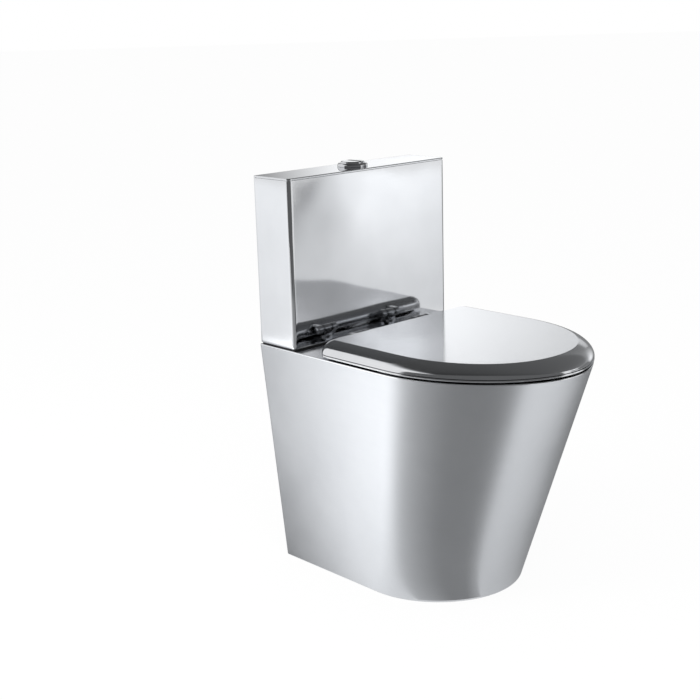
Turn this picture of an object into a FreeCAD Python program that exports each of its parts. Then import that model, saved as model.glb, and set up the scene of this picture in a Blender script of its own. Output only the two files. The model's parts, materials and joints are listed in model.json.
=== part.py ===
import FreeCAD, Part
import math
import os

from FreeCAD import Vector

# Close-coupled toilet suite in stainless steel: tapered pan, slim cistern, seat and lid.
# Millimetres, +Z up, front towards -Y, wall at +Y, origin on the floor under the middle of the box.
# A size ending in FROM_WALL is a distance from the wall towards the front.

# Sheet and clearances
SHEET = 1.5
RUNNING_GAP = 0.05
REST_GAP = 0.3
BOLT_GAP = 0.5

# Pan
PAN_HEIGHT = 400.0
PAN_DEPTH = 523.0
PAN_HALF_WIDTH = 188.0
PAN_STRAIGHT = 292.5
PAN_FULLNESS = 0.50
BASE_DEPTH = 380.0
BASE_HALF_WIDTH = 147.5
BASE_STRAIGHT = 231.0
BASE_FULLNESS = 0.53
DECK_THICKNESS = 2.0
FLOOR_FLANGE = 22.0
REAR_FLANGE = 25.0
REAR_TOP_STRIP = 18.0

# Bowl and flush rim
MOUTH_REAR = 215.0
MOUTH_NOSE_SHARE = 0.635
BOWL_FRONT_GAP = 1.8
BELLY_GAP = 2.6
BOWL_SIDE_GAP = 34.0
RIM_DEPTH = 46.0
RIM_RETURN = 10.0
RIM_CHANNEL = 21.0
BOWL_DEPTH = 208.0
SUMP_DEPTH = 48.0
BOWL_PROFILE = ((0.0, 1.0), (0.28, 0.97), (0.57, 0.74), (0.83, 0.31), (1.0, 0.0))

# Flush duct under the deck
DUCT_HALF_WIDTH = 50.0
DUCT_DEPTH = 48.0
DUCT_REAR_FROM_WALL = 5.0
DUCT_LEDGE = 3.0

# Trap and waste outlet
TRAP_RADIUS = 40.0
TRAP_BEND = 55.0
TRAP_FROM_WALL = 290.0
SEAL_DEPTH = 50.0
OUTLET_HEIGHT = 185.0
OUTLET_RADIUS = 51.0
OUTLET_LENGTH = 49.0
OUTLET_TAPER = 18.0
OUTLET_RECESS = 8.0
BRACE_FROM_WALL = 98.0
BRACE_THICKNESS = 2.0
BRACE_HEIGHT = 110.0

# Floor fixing tabs
TAB_LENGTH = 40.0
TAB_THICKNESS = 3.0
TAB_HOLE_RADIUS = 4.5
TAB_HALF_SPACING = 96.0
TAB_REACH = 22.0
TAB_REAR_FROM_WALL = 80.0
TAB_FRONT_FROM_WALL = 250.0
TAB_UPSTAND = 14.0

# Seat and lid
SEAT_REAR = 140.0
SEAT_CORNER = 28.0
SEAT_STRAIGHT = 297.0
SEAT_GAP = 3.5
SEAT_FLANGE = 3.2
SEAT_FLANGE_WIDTH = 7.0
SEAT_CROWN = 13.8
SEAT_SHOULDER = 19.0
SEAT_PROFILE = ((0.0, 0.0), (0.16, 0.45), (0.47, 0.78), (1.0, 1.0))
SEAT_WALL = 2.0
SEAT_OVERHANG_SIDE = 15.0
SEAT_OVERHANG_REAR = 17.0
SEAT_OVERHANG_FRONT = 18.0
SEAT_HOLE_FLARE = 14.0
SEAT_HOLE_ROLL = 6.9
LID_GAP = 0.8
LID_RISE = 19.0
LID_ROLL_SIDE = 29.0
LID_ROLL_FRONT = 35.0
LID_ROLL_REAR = 12.0
LID_ROLL_ANGLE = 60.0
LID_ROLL_STEPS = 4
LID_FULLNESS = 0.59

# Bumpers under the seat and under the lid
BUMPER_RADIUS = 7.0
BUMPER_SIDE_INSET = 45.0
BUMPER_SIDE_FROM_WALL = 330.0
BUMPER_REAR_INSET = 76.0
BUMPER_REAR_FROM_WALL = 192.0

# Hinges
HINGE_HALF_SPACING = 77.5
HINGE_FROM_WALL = 128.0
HINGE_HEIGHT = 14.0
KNUCKLE_RADIUS = 7.5
POST_WIDTH = 16.0
KNUCKLE_WIDTH = 10.0
KNUCKLE_GAP = 3.0
PIN_RADIUS = 4.0
PIN_HEAD_RADIUS = 6.0
PIN_HEAD = 2.0
POST_FOOT_RADIUS = 10.0
POST_FOOT = 3.0
STRAP = 2.5
LID_STRAP = 3.0
STRAP_GRIP = 16.0
LID_PAD_LENGTH = 36.0

# Fasteners under the deck and in the cistern floor
STUD_RADIUS = 4.0
STUD_LENGTH = 30.0
NUT_FLATS = 13.0
NUT_HEIGHT = 7.0
WASHER_RADIUS = 11.0
WASHER_THICKNESS = 3.0
BOLT_INSET = 84.5
BOLT_HEAD_RADIUS = 8.0
BOLT_HEAD = 5.5
BOLT_DROP = 35.0
WING_RADIUS = 8.0
WING_HEIGHT = 9.0
WING_REACH = 17.0
WING_THICKNESS = 3.0

# Cistern
CISTERN_HEIGHT = 285.5
CISTERN_DEPTH = 87.5
CISTERN_SIDE_STEP = 3.5
CISTERN_BEND = 6.0
CISTERN_TOP = 4.0
TOP_LIP = 10.0
TOP_LIP_GAP = 0.5
GASKET_THICKNESS = 2.0
GASKET_INSET = 2.0
WALL_HOLE_RADIUS = 4.0
WALL_HOLE_HALF_SPACING = 95.0
WALL_HOLE_HEIGHT = 220.0

# Push buttons
BEZEL_RADIUS = 26.0
BEZEL_HEIGHT = 6.0
BEZEL_WALL = 1.7
BEZEL_DROP = 25.5
BEZEL_FLOOR = 3.0
BEZEL_NUT_RADIUS = 29.0
BEZEL_NUT_HEIGHT = 8.0
BUTTON_RADIUS = 20.2
BUTTON_PROUD = 3.0
BUTTON_THICKNESS = 10.0
BUTTON_TRAVEL = 8.0
BUTTON_SPLIT_X = 4.5
BUTTON_SPLIT = 0.6
FULL_ROD_X = -8.0
HALF_ROD_X = 12.5
ROD_RADIUS = 3.0
ROD_ARM = 4.0
ROD_ARM_GAP = 4.0
SPRING_RADIUS = 4.6
SPRING_WIRE = 0.5
SPRING_TURNS = 5

# Flush valve
VALVE_SPIGOT_RADIUS = 25.0
VALVE_BORE = 21.0
VALVE_FLANGE_RADIUS = 33.0
VALVE_WASHER = 2.0
VALVE_FLANGE = 3.0
VALVE_DROP = 24.0
VALVE_LIP = 2.5
VALVE_LIP_WIDTH = 2.0
VALVE_POST_HEIGHT = 38.0
VALVE_POST_COUNT = 4
VALVE_POST_RADIUS = 2.0
BACK_NUT_RADIUS = 33.0
BACK_NUT_HEIGHT = 12.0
DECK_VALVE_HOLE = 36.0
TOWER_RADIUS = 24.0
TOWER_WALL = 1.5
TOWER_PLATE = 3.0
TOWER_HEIGHT = 146.0
TUBE_RADIUS = 15.0
TUBE_WALL = 1.5
SEAL_RADIUS = 26.0
SEAL_THICKNESS = 3.0
LIFT_SLACK = 1.0
COLLAR_RADIUS = 26.0
COLLAR_THICKNESS = 3.0
HALF_RING_RISE = 11.0
RING_GAP = 1.4
ROCKER_PIVOT_X = 50.0
ROCKER_INNER = 30.0
ROCKER_OUTER = 16.0
ROCKER_END = 3.0
ROCKER_THICKNESS = 3.0
ROCKER_WIDTH = 13.0
ROCKER_PIN_RADIUS = 2.0
ROCKER_BOSS_RADIUS = 4.5
ROCKER_CLEARANCE = 0.6
ROD_CLEARANCE = 0.4
LUG_THICKNESS = 3.0
LUG_WIDTH = 8.0
ARM_THICKNESS = 4.0

# Fill valve
INLET_INSET = 39.5
SHANK_RADIUS = 12.0
INLET_THREAD_RADIUS = 10.48
SHANK_DROP = 50.0
SHANK_FLANGE_RADIUS = 18.0
SHANK_FLANGE = 4.0
INLET_NUT_FLATS = 32.0
INLET_NUT_HEIGHT = 10.0
DECK_INLET_HOLE = 20.0
COLUMN_RADIUS = 11.0
FILL_BORE = 5.5
COLUMN_HEIGHT = 190.0
CAP_RADIUS = 20.0
CAP_HEIGHT = 30.0
FLOAT_RADIUS = 27.0
FLOAT_HEIGHT = 55.0
FLOAT_RISE = 12.0
FLOAT_TOP_GAP = 18.0
FLOAT_EAR = 6.0
LEVER_PIVOT = 15.0
LEVER_ARM = 45.0
LEVER_THICKNESS = 3.0
LEVER_WIDTH = 10.0
LEVER_RISE = 6.0
LEVER_SLOT = 9.0
LEVER_SLOT_WIDTH = 5.0
LEVER_END = 4.0
FLOAT_ROD_RADIUS = 2.0
ROD_STOP_RADIUS = 4.0
ROD_STOP = 2.0
ROD_STOP_GAP = 1.6

# Heights and places that follow from the sizes above
DECK_UNDER = PAN_HEIGHT - DECK_THICKNESS
CISTERN_HALF_WIDTH = PAN_HALF_WIDTH - CISTERN_SIDE_STEP
BOLT_HALF_SPACING = CISTERN_HALF_WIDTH - BOLT_INSET
INLET_X = CISTERN_HALF_WIDTH - INLET_INSET
BUMPER_SIDE_X = PAN_HALF_WIDTH - BUMPER_SIDE_INSET
BUMPER_REAR_X = PAN_HALF_WIDTH - BUMPER_REAR_INSET
CISTERN_FLOOR = PAN_HEIGHT + GASKET_THICKNESS
CISTERN_INSIDE = CISTERN_FLOOR + SHEET
CISTERN_TOP_Z = PAN_HEIGHT + CISTERN_HEIGHT
SHELL_TOP = CISTERN_TOP_Z - CISTERN_TOP
CISTERN_MID = CISTERN_DEPTH / 2
RIM_FOOT = DECK_UNDER - RIM_DEPTH
THROAT_Z = DECK_UNDER - BOWL_DEPTH
SUMP_TOP = THROAT_Z + SUMP_DEPTH
TRAP_BORE = TRAP_RADIUS - SHEET
TRAP_TURN_Z = OUTLET_HEIGHT - TRAP_BORE - SEAL_DEPTH + TRAP_BEND - TRAP_BORE
TRAP_UP_FROM_WALL = TRAP_FROM_WALL - 2 * TRAP_BEND
TRAP_OUT_FROM_WALL = TRAP_UP_FROM_WALL - TRAP_BEND
OUTLET_NECK_FROM_WALL = OUTLET_RECESS + OUTLET_LENGTH + OUTLET_TAPER
SEAT_UNDER = PAN_HEIGHT + SEAT_GAP
SEAT_FLANGE_TOP = SEAT_UNDER + SEAT_FLANGE
SEAT_TOP = SEAT_FLANGE_TOP + SEAT_CROWN
LID_LOWER = SEAT_FLANGE_TOP + LID_GAP
LID_TOP = LID_LOWER + LID_RISE
LID_UNDER = LID_TOP - SHEET
HINGE_Z = PAN_HEIGHT + HINGE_HEIGHT
SEAT_KNUCKLE_OUT = HINGE_HALF_SPACING - POST_WIDTH / 2 - KNUCKLE_GAP
SEAT_KNUCKLE_IN = SEAT_KNUCKLE_OUT - KNUCKLE_WIDTH
LID_KNUCKLE_IN = HINGE_HALF_SPACING + POST_WIDTH / 2 + KNUCKLE_GAP
LID_KNUCKLE_OUT = LID_KNUCKLE_IN + KNUCKLE_WIDTH
BUTTON_TOP = CISTERN_TOP_Z + BEZEL_HEIGHT + BUTTON_PROUD
BUTTON_UNDER = BUTTON_TOP - BUTTON_THICKNESS
BEZEL_BORE = BUTTON_RADIUS + REST_GAP
BEZEL_SLEEVE = BEZEL_BORE + BEZEL_WALL
BEZEL_FLOOR_TOP = CISTERN_TOP_Z - BEZEL_DROP + BEZEL_FLOOR
ROD_ARM_TOP = CISTERN_TOP_Z - BEZEL_DROP - ROD_ARM_GAP
VALVE_FLANGE_UNDER = CISTERN_INSIDE + VALVE_WASHER
VALVE_FLANGE_TOP = VALVE_FLANGE_UNDER + VALVE_FLANGE
VALVE_SEAT = VALVE_FLANGE_TOP + VALVE_LIP
TOWER_FOOT = VALVE_FLANGE_TOP + VALVE_POST_HEIGHT
TOWER_TOP = TOWER_FOOT + TOWER_HEIGHT
VALVE_POST_CIRCLE = VALVE_FLANGE_RADIUS - VALVE_POST_RADIUS - BOLT_GAP
HALF_RING_Z = TOWER_TOP + HALF_RING_RISE
TUBE_LIFT = BUTTON_TRAVEL * ROCKER_INNER / ROCKER_OUTER - LIFT_SLACK
HALF_RING_LIFTED = HALF_RING_Z + COLLAR_THICKNESS + TUBE_LIFT
FULL_COLLAR_Z = HALF_RING_LIFTED + RING_GAP + ROCKER_THICKNESS + ROCKER_CLEARANCE
COLUMN_TOP = VALVE_FLANGE_UNDER + SHANK_FLANGE + COLUMN_HEIGHT
CAP_TOP = COLUMN_TOP + CAP_HEIGHT
LEVER_Z = CAP_TOP + LEVER_RISE
FLOAT_TOP = COLUMN_TOP - FLOAT_TOP_GAP - FLOAT_RISE


# Basic solids

def y_at(from_wall):
    """Y of the plane this far in front of the wall."""
    return PAN_DEPTH / 2 - from_wall


def block(x_low, x_high, near_wall, far_wall, z_low, z_high):
    """Rectangular solid between two X, two distances from the wall and two heights."""
    corner = Vector(x_low, y_at(far_wall), z_low)
    return Part.makeBox(x_high - x_low, far_wall - near_wall, z_high - z_low, corner)


def sided_block(side, x_in, x_out, near_wall, far_wall, z_low, z_high):
    """Block on the +X side, or its mirror image on the -X side."""
    x_low, x_high = sorted((side * x_in, side * x_out))
    return block(x_low, x_high, near_wall, far_wall, z_low, z_high)


def upright(x, from_wall, radius, z_low, z_high):
    """Vertical round bar."""
    return Part.makeCylinder(radius, z_high - z_low, Vector(x, y_at(from_wall), z_low))


def sleeve(x, from_wall, bore, radius, z_low, z_high):
    """Vertical tube or washer."""
    hole = upright(x, from_wall, bore, z_low, z_high)
    return upright(x, from_wall, radius, z_low, z_high).cut(hole)


def cross_bar(x_low, x_high, from_wall, z, radius):
    """Round bar along X."""
    start = Vector(x_low, y_at(from_wall), z)
    return Part.makeCylinder(radius, x_high - x_low, start, Vector(1, 0, 0))


def sided_bar(side, x_in, x_out, from_wall, z, radius):
    """Round bar along X on the +X side, or its mirror image."""
    x_low, x_high = sorted((side * x_in, side * x_out))
    return cross_bar(x_low, x_high, from_wall, z, radius)


def depth_bar(x, near_wall, far_wall, z, radius):
    """Round bar along Y."""
    start = Vector(x, y_at(far_wall), z)
    return Part.makeCylinder(radius, far_wall - near_wall, start, Vector(0, 1, 0))


def depth_cone(x, near_wall, near_radius, far_wall, far_radius, z):
    """Tapered round bar along Y."""
    start = Vector(x, y_at(far_wall), z)
    return Part.makeCone(far_radius, near_radius, far_wall - near_wall, start, Vector(0, 1, 0))


def hexagon(x, from_wall, flats, z_low, z_high):
    """Upright hexagonal bar, given its size across flats."""
    radius = flats / math.sqrt(3)
    corners = []
    for turn in range(7):
        angle = math.radians(60 * turn)
        across = x + radius * math.cos(angle)
        corners.append(Vector(across, y_at(from_wall) + radius * math.sin(angle), z_low))
    return Part.Face(Part.makePolygon(corners)).extrude(Vector(0, 0, z_high - z_low))


def joined(first, *others):
    """One solid from several that touch or overlap."""
    whole = first
    for other in others:
        whole = whole.fuse(other)
    return whole.removeSplitter()


def cut_all(solid, *tools):
    """Solid with every tool taken away."""
    for tool in tools:
        solid = solid.cut(tool)
    return solid


def pair(make):
    """The same piece on the left and on the right, as one group."""
    return Part.makeCompound([make(-1), make(1)])


# Plans seen from above

ROUND = 0.5523


def bezier(*poles):
    """Edge along a Bezier curve."""
    curve = Part.BezierCurve()
    curve.setPoles(list(poles))
    return curve.toShape()


class Plan:
    """D-shaped plan: square or rounded rear corners, straight sides and a round front."""

    def __init__(self, half_width, rear, straight, front, fullness, corner=0.0):
        self.half_width = half_width
        self.rear = rear
        self.straight = straight
        self.front = front
        self.fullness = fullness
        self.corner = corner

    def inset(self, side, front=None, rear=None):
        """The plan drawn in by the given amounts."""
        front = side if front is None else front
        rear = side if rear is None else rear
        corner = max(self.corner - side, self.corner / 4)
        return Plan(self.half_width - side, self.rear + rear, self.straight,
                    self.front - front, self.fullness, corner)

    def wire(self, z):
        """Closed outline at one height."""
        def at(x, from_wall):
            return Vector(x, y_at(from_wall), z)

        width, corner = self.half_width, self.corner
        reach = (self.front - self.straight) * self.fullness
        handle = width * self.fullness
        side_start = self.rear + corner
        tuck = corner * (1 - ROUND)
        edges = [Part.makeLine(at(corner - width, self.rear), at(width - corner, self.rear))]
        if corner:
            edges.append(bezier(at(width - corner, self.rear), at(width - tuck, self.rear),
                                at(width, self.rear + tuck), at(width, side_start)))
        edges.append(Part.makeLine(at(width, side_start), at(width, self.straight)))
        edges.append(bezier(at(width, self.straight), at(width, self.straight + reach),
                            at(handle, self.front), at(0, self.front)))
        edges.append(bezier(at(0, self.front), at(-handle, self.front),
                            at(-width, self.straight + reach), at(-width, self.straight)))
        edges.append(Part.makeLine(at(-width, self.straight), at(-width, side_start)))
        if corner:
            edges.append(bezier(at(-width, side_start), at(-width, self.rear + tuck),
                                at(tuck - width, self.rear), at(corner - width, self.rear)))
        return Part.Wire(edges)


class Egg:
    """Egg-shaped plan, widest part way between its rear and its front."""

    def __init__(self, half_width, rear, widest, front):
        self.half_width = half_width
        self.rear = rear
        self.widest = widest
        self.front = front

    def grown(self, by):
        """The plan let out all round."""
        return Egg(self.half_width + by, self.rear - by, self.widest, self.front + by)

    def wire(self, z):
        """Closed outline at one height."""
        def at(x, from_wall):
            return Vector(x, y_at(from_wall), z)

        edges = []
        width, mid = self.half_width, self.widest
        for side, end, turned in ((1, self.front, False), (-1, self.front, True),
                                  (-1, self.rear, False), (1, self.rear, True)):
            poles = [at(side * width, mid), at(side * width, mid + ROUND * (end - mid)),
                     at(side * width * ROUND, end), at(0, end)]
            edges.append(bezier(*(reversed(poles) if turned else poles)))
        return Part.Wire(edges)


def ruled(low_plan, low_z, high_plan, high_z):
    """Solid with straight sides between two plans."""
    return Part.makeLoft([low_plan.wire(low_z), high_plan.wire(high_z)], True, True)


def prism(plan, z_low, z_high):
    """Upright solid on one plan."""
    return ruled(plan, z_low, plan, z_high)


def pan_plan(z, inset=0.0):
    """Plan of the tapered pan at a height, drawn in by a wall."""
    share = z / PAN_HEIGHT

    def between(base, top):
        return base + (top - base) * share

    return Plan(between(BASE_HALF_WIDTH, PAN_HALF_WIDTH) - inset, inset,
                between(BASE_STRAIGHT, PAN_STRAIGHT), between(BASE_DEPTH, PAN_DEPTH) - inset,
                between(BASE_FULLNESS, PAN_FULLNESS))


RIM_SPACE = pan_plan(RIM_FOOT, 2 * SHEET + RIM_CHANNEL)
BELLY_DEPTH, BELLY_OUT = BOWL_PROFILE[1]
BELLY_SPACE = pan_plan(DECK_UNDER - BELLY_DEPTH * BOWL_DEPTH, 2 * SHEET + BELLY_GAP)
THROAT_FRONT = TRAP_FROM_WALL + TRAP_BORE
# The skin leans, so it comes closest to the bowl either at the rim or at the belly.
MOUTH_FRONT = min(RIM_SPACE.front - BOWL_FRONT_GAP,
                  THROAT_FRONT + (BELLY_SPACE.front - THROAT_FRONT) / BELLY_OUT - RIM_CHANNEL)
MOUTH_WIDEST = MOUTH_FRONT - MOUTH_NOSE_SHARE * (BELLY_SPACE.front - BELLY_SPACE.straight)
MOUTH = Egg(RIM_SPACE.half_width - BOWL_SIDE_GAP, MOUTH_REAR, MOUTH_WIDEST, MOUTH_FRONT)
SEAT_HOLE = Egg(MOUTH.half_width - SEAT_OVERHANG_SIDE, MOUTH_REAR + SEAT_OVERHANG_REAR, MOUTH_WIDEST,
                MOUTH_FRONT - SEAT_OVERHANG_FRONT)
SEAT_PLAN = Plan(PAN_HALF_WIDTH, SEAT_REAR, SEAT_STRAIGHT, PAN_DEPTH, PAN_FULLNESS, SEAT_CORNER)


# Pan

def make_pan_shroud():
    """Tapered skin, folded in along the floor and along the wall."""
    outer = ruled(pan_plan(0), 0, pan_plan(DECK_UNDER), DECK_UNDER)
    inner = ruled(pan_plan(SHEET, SHEET), SHEET, pan_plan(DECK_UNDER, SHEET), DECK_UNDER)
    floor_gap = prism(pan_plan(0, FLOOR_FLANGE), 0, SHEET)
    low, high = FLOOR_FLANGE, DECK_UNDER - REAR_TOP_STRIP
    low_half = pan_plan(low).half_width - REAR_FLANGE
    high_half = pan_plan(high).half_width - REAR_FLANGE
    behind = y_at(-SHEET)
    corners = [Vector(-low_half, behind, low), Vector(low_half, behind, low),
               Vector(high_half, behind, high), Vector(-high_half, behind, high)]
    rear_face = Part.Face(Part.makePolygon(corners + corners[:1]))
    rear_gap = rear_face.extrude(Vector(0, -3 * SHEET, 0))
    return cut_all(outer, inner, floor_gap, rear_gap)


def make_pan_deck():
    """Plate with the mouth, and with holes for the hinges, cistern bolts, outlet and inlet."""
    plate = ruled(pan_plan(DECK_UNDER), DECK_UNDER, pan_plan(PAN_HEIGHT), PAN_HEIGHT)
    low, high = DECK_UNDER, PAN_HEIGHT
    holes = [prism(MOUTH, low, high),
             upright(0, CISTERN_MID, DECK_VALVE_HOLE, low, high),
             upright(INLET_X, CISTERN_MID, DECK_INLET_HOLE, low, high)]
    for side in (-1, 1):
        holes.append(upright(side * HINGE_HALF_SPACING, HINGE_FROM_WALL, STUD_RADIUS + BOLT_GAP, low, high))
        holes.append(upright(side * BOLT_HALF_SPACING, CISTERN_MID, STUD_RADIUS + BOLT_GAP, low, high))
    return cut_all(plate, *holes)


def bowl_form(wall):
    """Bowl from the deck down to the round throat, let out by a wall."""
    mouth = MOUTH.grown(RIM_CHANNEL)
    sections = []
    for depth_share, out_share in BOWL_PROFILE:
        def between(throat, rim):
            return throat + (rim - throat) * out_share

        plan = Egg(between(TRAP_BORE, mouth.half_width), between(TRAP_FROM_WALL - TRAP_BORE, mouth.rear),
                   between(TRAP_FROM_WALL, mouth.widest), between(TRAP_FROM_WALL + TRAP_BORE, mouth.front))
        sections.append(plan.grown(wall).wire(DECK_UNDER - depth_share * BOWL_DEPTH))
    return Part.makeLoft(sections, True, False)


def bowl_shell(z_low, z_high):
    """Stretch of the bowl's wall between two heights."""
    stretch = block(-PAN_HALF_WIDTH, PAN_HALF_WIDTH, 0, PAN_DEPTH, z_low, z_high)
    return bowl_form(SHEET).cut(bowl_form(0)).common(stretch)


def make_bowl():
    """Pressed bowl with the window where the flush duct comes in."""
    floor = DECK_UNDER - DUCT_DEPTH
    half = DUCT_HALF_WIDTH - SHEET - DUCT_LEDGE
    window = block(-half, half, DUCT_REAR_FROM_WALL, MOUTH_WIDEST,
                   floor + SHEET + DUCT_LEDGE, DECK_UNDER - DUCT_LEDGE)
    return bowl_shell(SUMP_TOP, DECK_UNDER).cut(window)


def make_bowl_sump():
    """Spun funnel welded between the bowl and the trap."""
    return bowl_shell(THROAT_Z, SUMP_TOP)


def make_flush_rim():
    """Skirt under the edge of the mouth, turned out at its foot to leave a wash slot."""
    skirt = prism(MOUTH.grown(SHEET), RIM_FOOT, DECK_UNDER)
    turn = prism(MOUTH.grown(SHEET + RIM_RETURN), RIM_FOOT, RIM_FOOT + SHEET)
    return joined(skirt, turn).cut(prism(MOUTH, RIM_FOOT, DECK_UNDER))


def make_flush_duct():
    """Channel under the deck from the cistern outlet to the bowl."""
    floor = DECK_UNDER - DUCT_DEPTH
    half, rear = DUCT_HALF_WIDTH, DUCT_REAR_FROM_WALL
    channel = block(-half, half, rear, MOUTH_WIDEST, floor, DECK_UNDER)
    inside = block(SHEET - half, half - SHEET, rear + SHEET, MOUTH_WIDEST, floor + SHEET, DECK_UNDER)
    return cut_all(channel, inside, bowl_form(SHEET))


def make_trap_inlet():
    """Straight tube down from the throat."""
    return sleeve(0, TRAP_FROM_WALL, TRAP_BORE, TRAP_RADIUS, TRAP_TURN_Z, THROAT_Z)


def trap_bend_bar(radius):
    """Solid round bar round the water seal, up and over to the back."""
    def at(from_wall, z):
        return Vector(0, y_at(from_wall), z)

    lean = TRAP_BEND * math.sqrt(0.5)
    elbow_z = OUTLET_HEIGHT - TRAP_BEND
    low_start, low_end = at(TRAP_FROM_WALL, TRAP_TURN_Z), at(TRAP_UP_FROM_WALL, TRAP_TURN_Z)
    low_middle = at(TRAP_FROM_WALL - TRAP_BEND, TRAP_TURN_Z - TRAP_BEND)
    elbow_start, elbow_end = at(TRAP_UP_FROM_WALL, elbow_z), at(TRAP_OUT_FROM_WALL, OUTLET_HEIGHT)
    elbow_middle = at(TRAP_OUT_FROM_WALL + lean, elbow_z + lean)
    edges = [Part.Arc(low_start, low_middle, low_end).toShape(),
             Part.makeLine(low_end, elbow_start),
             Part.Arc(elbow_start, elbow_middle, elbow_end).toShape()]
    section = Part.Wire(Part.makeCircle(radius, low_start, Vector(0, 0, -1)))
    return Part.Wire(edges).makePipeShell([section], True, False)


def make_trap_bend():
    """Bent tube that holds the water seal."""
    return trap_bend_bar(TRAP_RADIUS).cut(trap_bend_bar(TRAP_BORE))


def make_trap_outlet():
    """Straight tube from the bend to the spigot."""
    near, far = OUTLET_NECK_FROM_WALL, TRAP_OUT_FROM_WALL
    bore = depth_bar(0, near, far, OUTLET_HEIGHT, TRAP_BORE)
    return depth_bar(0, near, far, OUTLET_HEIGHT, TRAP_RADIUS).cut(bore)


def outlet_bar(neck_radius, end_radius):
    """Solid form of the spigot: a taper and a straight end."""
    shoulder = OUTLET_RECESS + OUTLET_LENGTH
    straight = depth_bar(0, OUTLET_RECESS, shoulder, OUTLET_HEIGHT, end_radius)
    taper = depth_cone(0, shoulder, end_radius, OUTLET_NECK_FROM_WALL, neck_radius, OUTLET_HEIGHT)
    return joined(straight, taper)


def make_outlet_spigot():
    """Waste spigot that takes the drain connector over its outside."""
    return outlet_bar(TRAP_RADIUS, OUTLET_RADIUS).cut(outlet_bar(TRAP_BORE, OUTLET_RADIUS - SHEET))


def make_rear_brace():
    """Plate across the inside of the shroud, round the trap's outlet leg."""
    low = OUTLET_HEIGHT - BRACE_HEIGHT / 2
    high = OUTLET_HEIGHT + BRACE_HEIGHT / 2
    near, far = BRACE_FROM_WALL, BRACE_FROM_WALL + BRACE_THICKNESS
    plate = block(-PAN_HALF_WIDTH, PAN_HALF_WIDTH, near, far, low, high)
    inside = ruled(pan_plan(low, SHEET), low, pan_plan(high, SHEET), high)
    return plate.common(inside).cut(depth_bar(0, near, far, OUTLET_HEIGHT, TRAP_RADIUS + REST_GAP))


def make_floor_brackets():
    """Tabs on the floor flange, each with a fixing hole and an upstand."""
    tabs = []
    for middle in (TAB_REAR_FROM_WALL, TAB_FRONT_FROM_WALL):
        near, far = middle - TAB_LENGTH / 2, middle + TAB_LENGTH / 2
        for side in (-1, 1):
            x_in = TAB_HALF_SPACING - TAB_REACH
            x_out = BASE_HALF_WIDTH - FLOOR_FLANGE / 2
            top = SHEET + TAB_THICKNESS
            tab = sided_block(side, x_in, x_out, near, far, SHEET, top)
            rib = sided_block(side, x_in, x_in + TAB_THICKNESS, near, far, top, top + TAB_UPSTAND)
            hole = upright(side * TAB_HALF_SPACING, middle, TAB_HOLE_RADIUS, SHEET, top)
            tabs.append(joined(tab, rib).cut(hole))
    return Part.makeCompound(tabs)


# Seat, lid and hinges

def seat_dome():
    """Flange and crown of the seat without its hole."""
    flange = prism(SEAT_PLAN, SEAT_UNDER, SEAT_FLANGE_TOP)
    foot = SEAT_PLAN.inset(SEAT_FLANGE_WIDTH)
    sections = []
    for in_share, up_share in SEAT_PROFILE:
        height = SEAT_FLANGE_TOP + up_share * SEAT_CROWN
        sections.append(foot.inset(in_share * SEAT_SHOULDER).wire(height))
    return joined(flange, Part.makeLoft(sections, True, True))


def seat_hole(grow):
    """Opening of the seat, flared towards its top edge."""
    bend = SEAT_TOP - SEAT_HOLE_ROLL
    plan = SEAT_HOLE.grown(grow)
    return joined(prism(plan, SEAT_UNDER, bend), ruled(plan, bend, plan.grown(SEAT_HOLE_FLARE), SEAT_TOP))


def make_seat_ring():
    """Pressed seat: flange, crown and rolled opening, hollow underneath."""
    plan = SEAT_PLAN.inset(SEAT_FLANGE_WIDTH + SEAT_WALL + SEAT_SHOULDER)
    foot = SEAT_PLAN.inset(SEAT_FLANGE_WIDTH + 2 * SEAT_WALL)
    hollow = ruled(foot, SEAT_UNDER, plan, SEAT_TOP - SEAT_WALL).cut(seat_hole(SEAT_WALL))
    return cut_all(seat_dome(), seat_hole(0), hollow)


def lid_form(wall):
    """Rolled lid without its hollow, drawn in by a wall: a quarter roll up to a flat top."""
    sections = []
    sweep = math.radians(LID_ROLL_ANGLE)
    top = LID_RISE - wall
    for step in range(LID_ROLL_STEPS + 1):
        angle = sweep * step / LID_ROLL_STEPS
        in_share = (1 - math.cos(angle)) / (1 - math.cos(sweep))
        up_share = math.sin(angle) / math.sin(sweep)
        plan = SEAT_PLAN.inset(wall + in_share * LID_ROLL_SIDE, wall + in_share * LID_ROLL_FRONT,
                               wall + in_share * LID_ROLL_REAR)
        plan.fullness = PAN_FULLNESS + in_share * (LID_FULLNESS - PAN_FULLNESS)
        sections.append(plan.wire(LID_LOWER + up_share * top))
    return Part.makeLoft(sections, True, True)


def lid_notch(side):
    """Gap in the lid's rear roll where a hinge strap comes through."""
    return sided_block(side, LID_KNUCKLE_IN - BOLT_GAP, LID_KNUCKLE_OUT + BOLT_GAP,
                       SEAT_REAR, SEAT_REAR + LID_ROLL_REAR + SHEET + STRAP,
                       LID_LOWER, HINGE_Z + KNUCKLE_RADIUS + BOLT_GAP)


def make_lid():
    """Polished lid: flat top and rolled edge, open underneath."""
    return cut_all(lid_form(0), lid_form(SHEET), lid_notch(-1), lid_notch(1))


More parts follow.
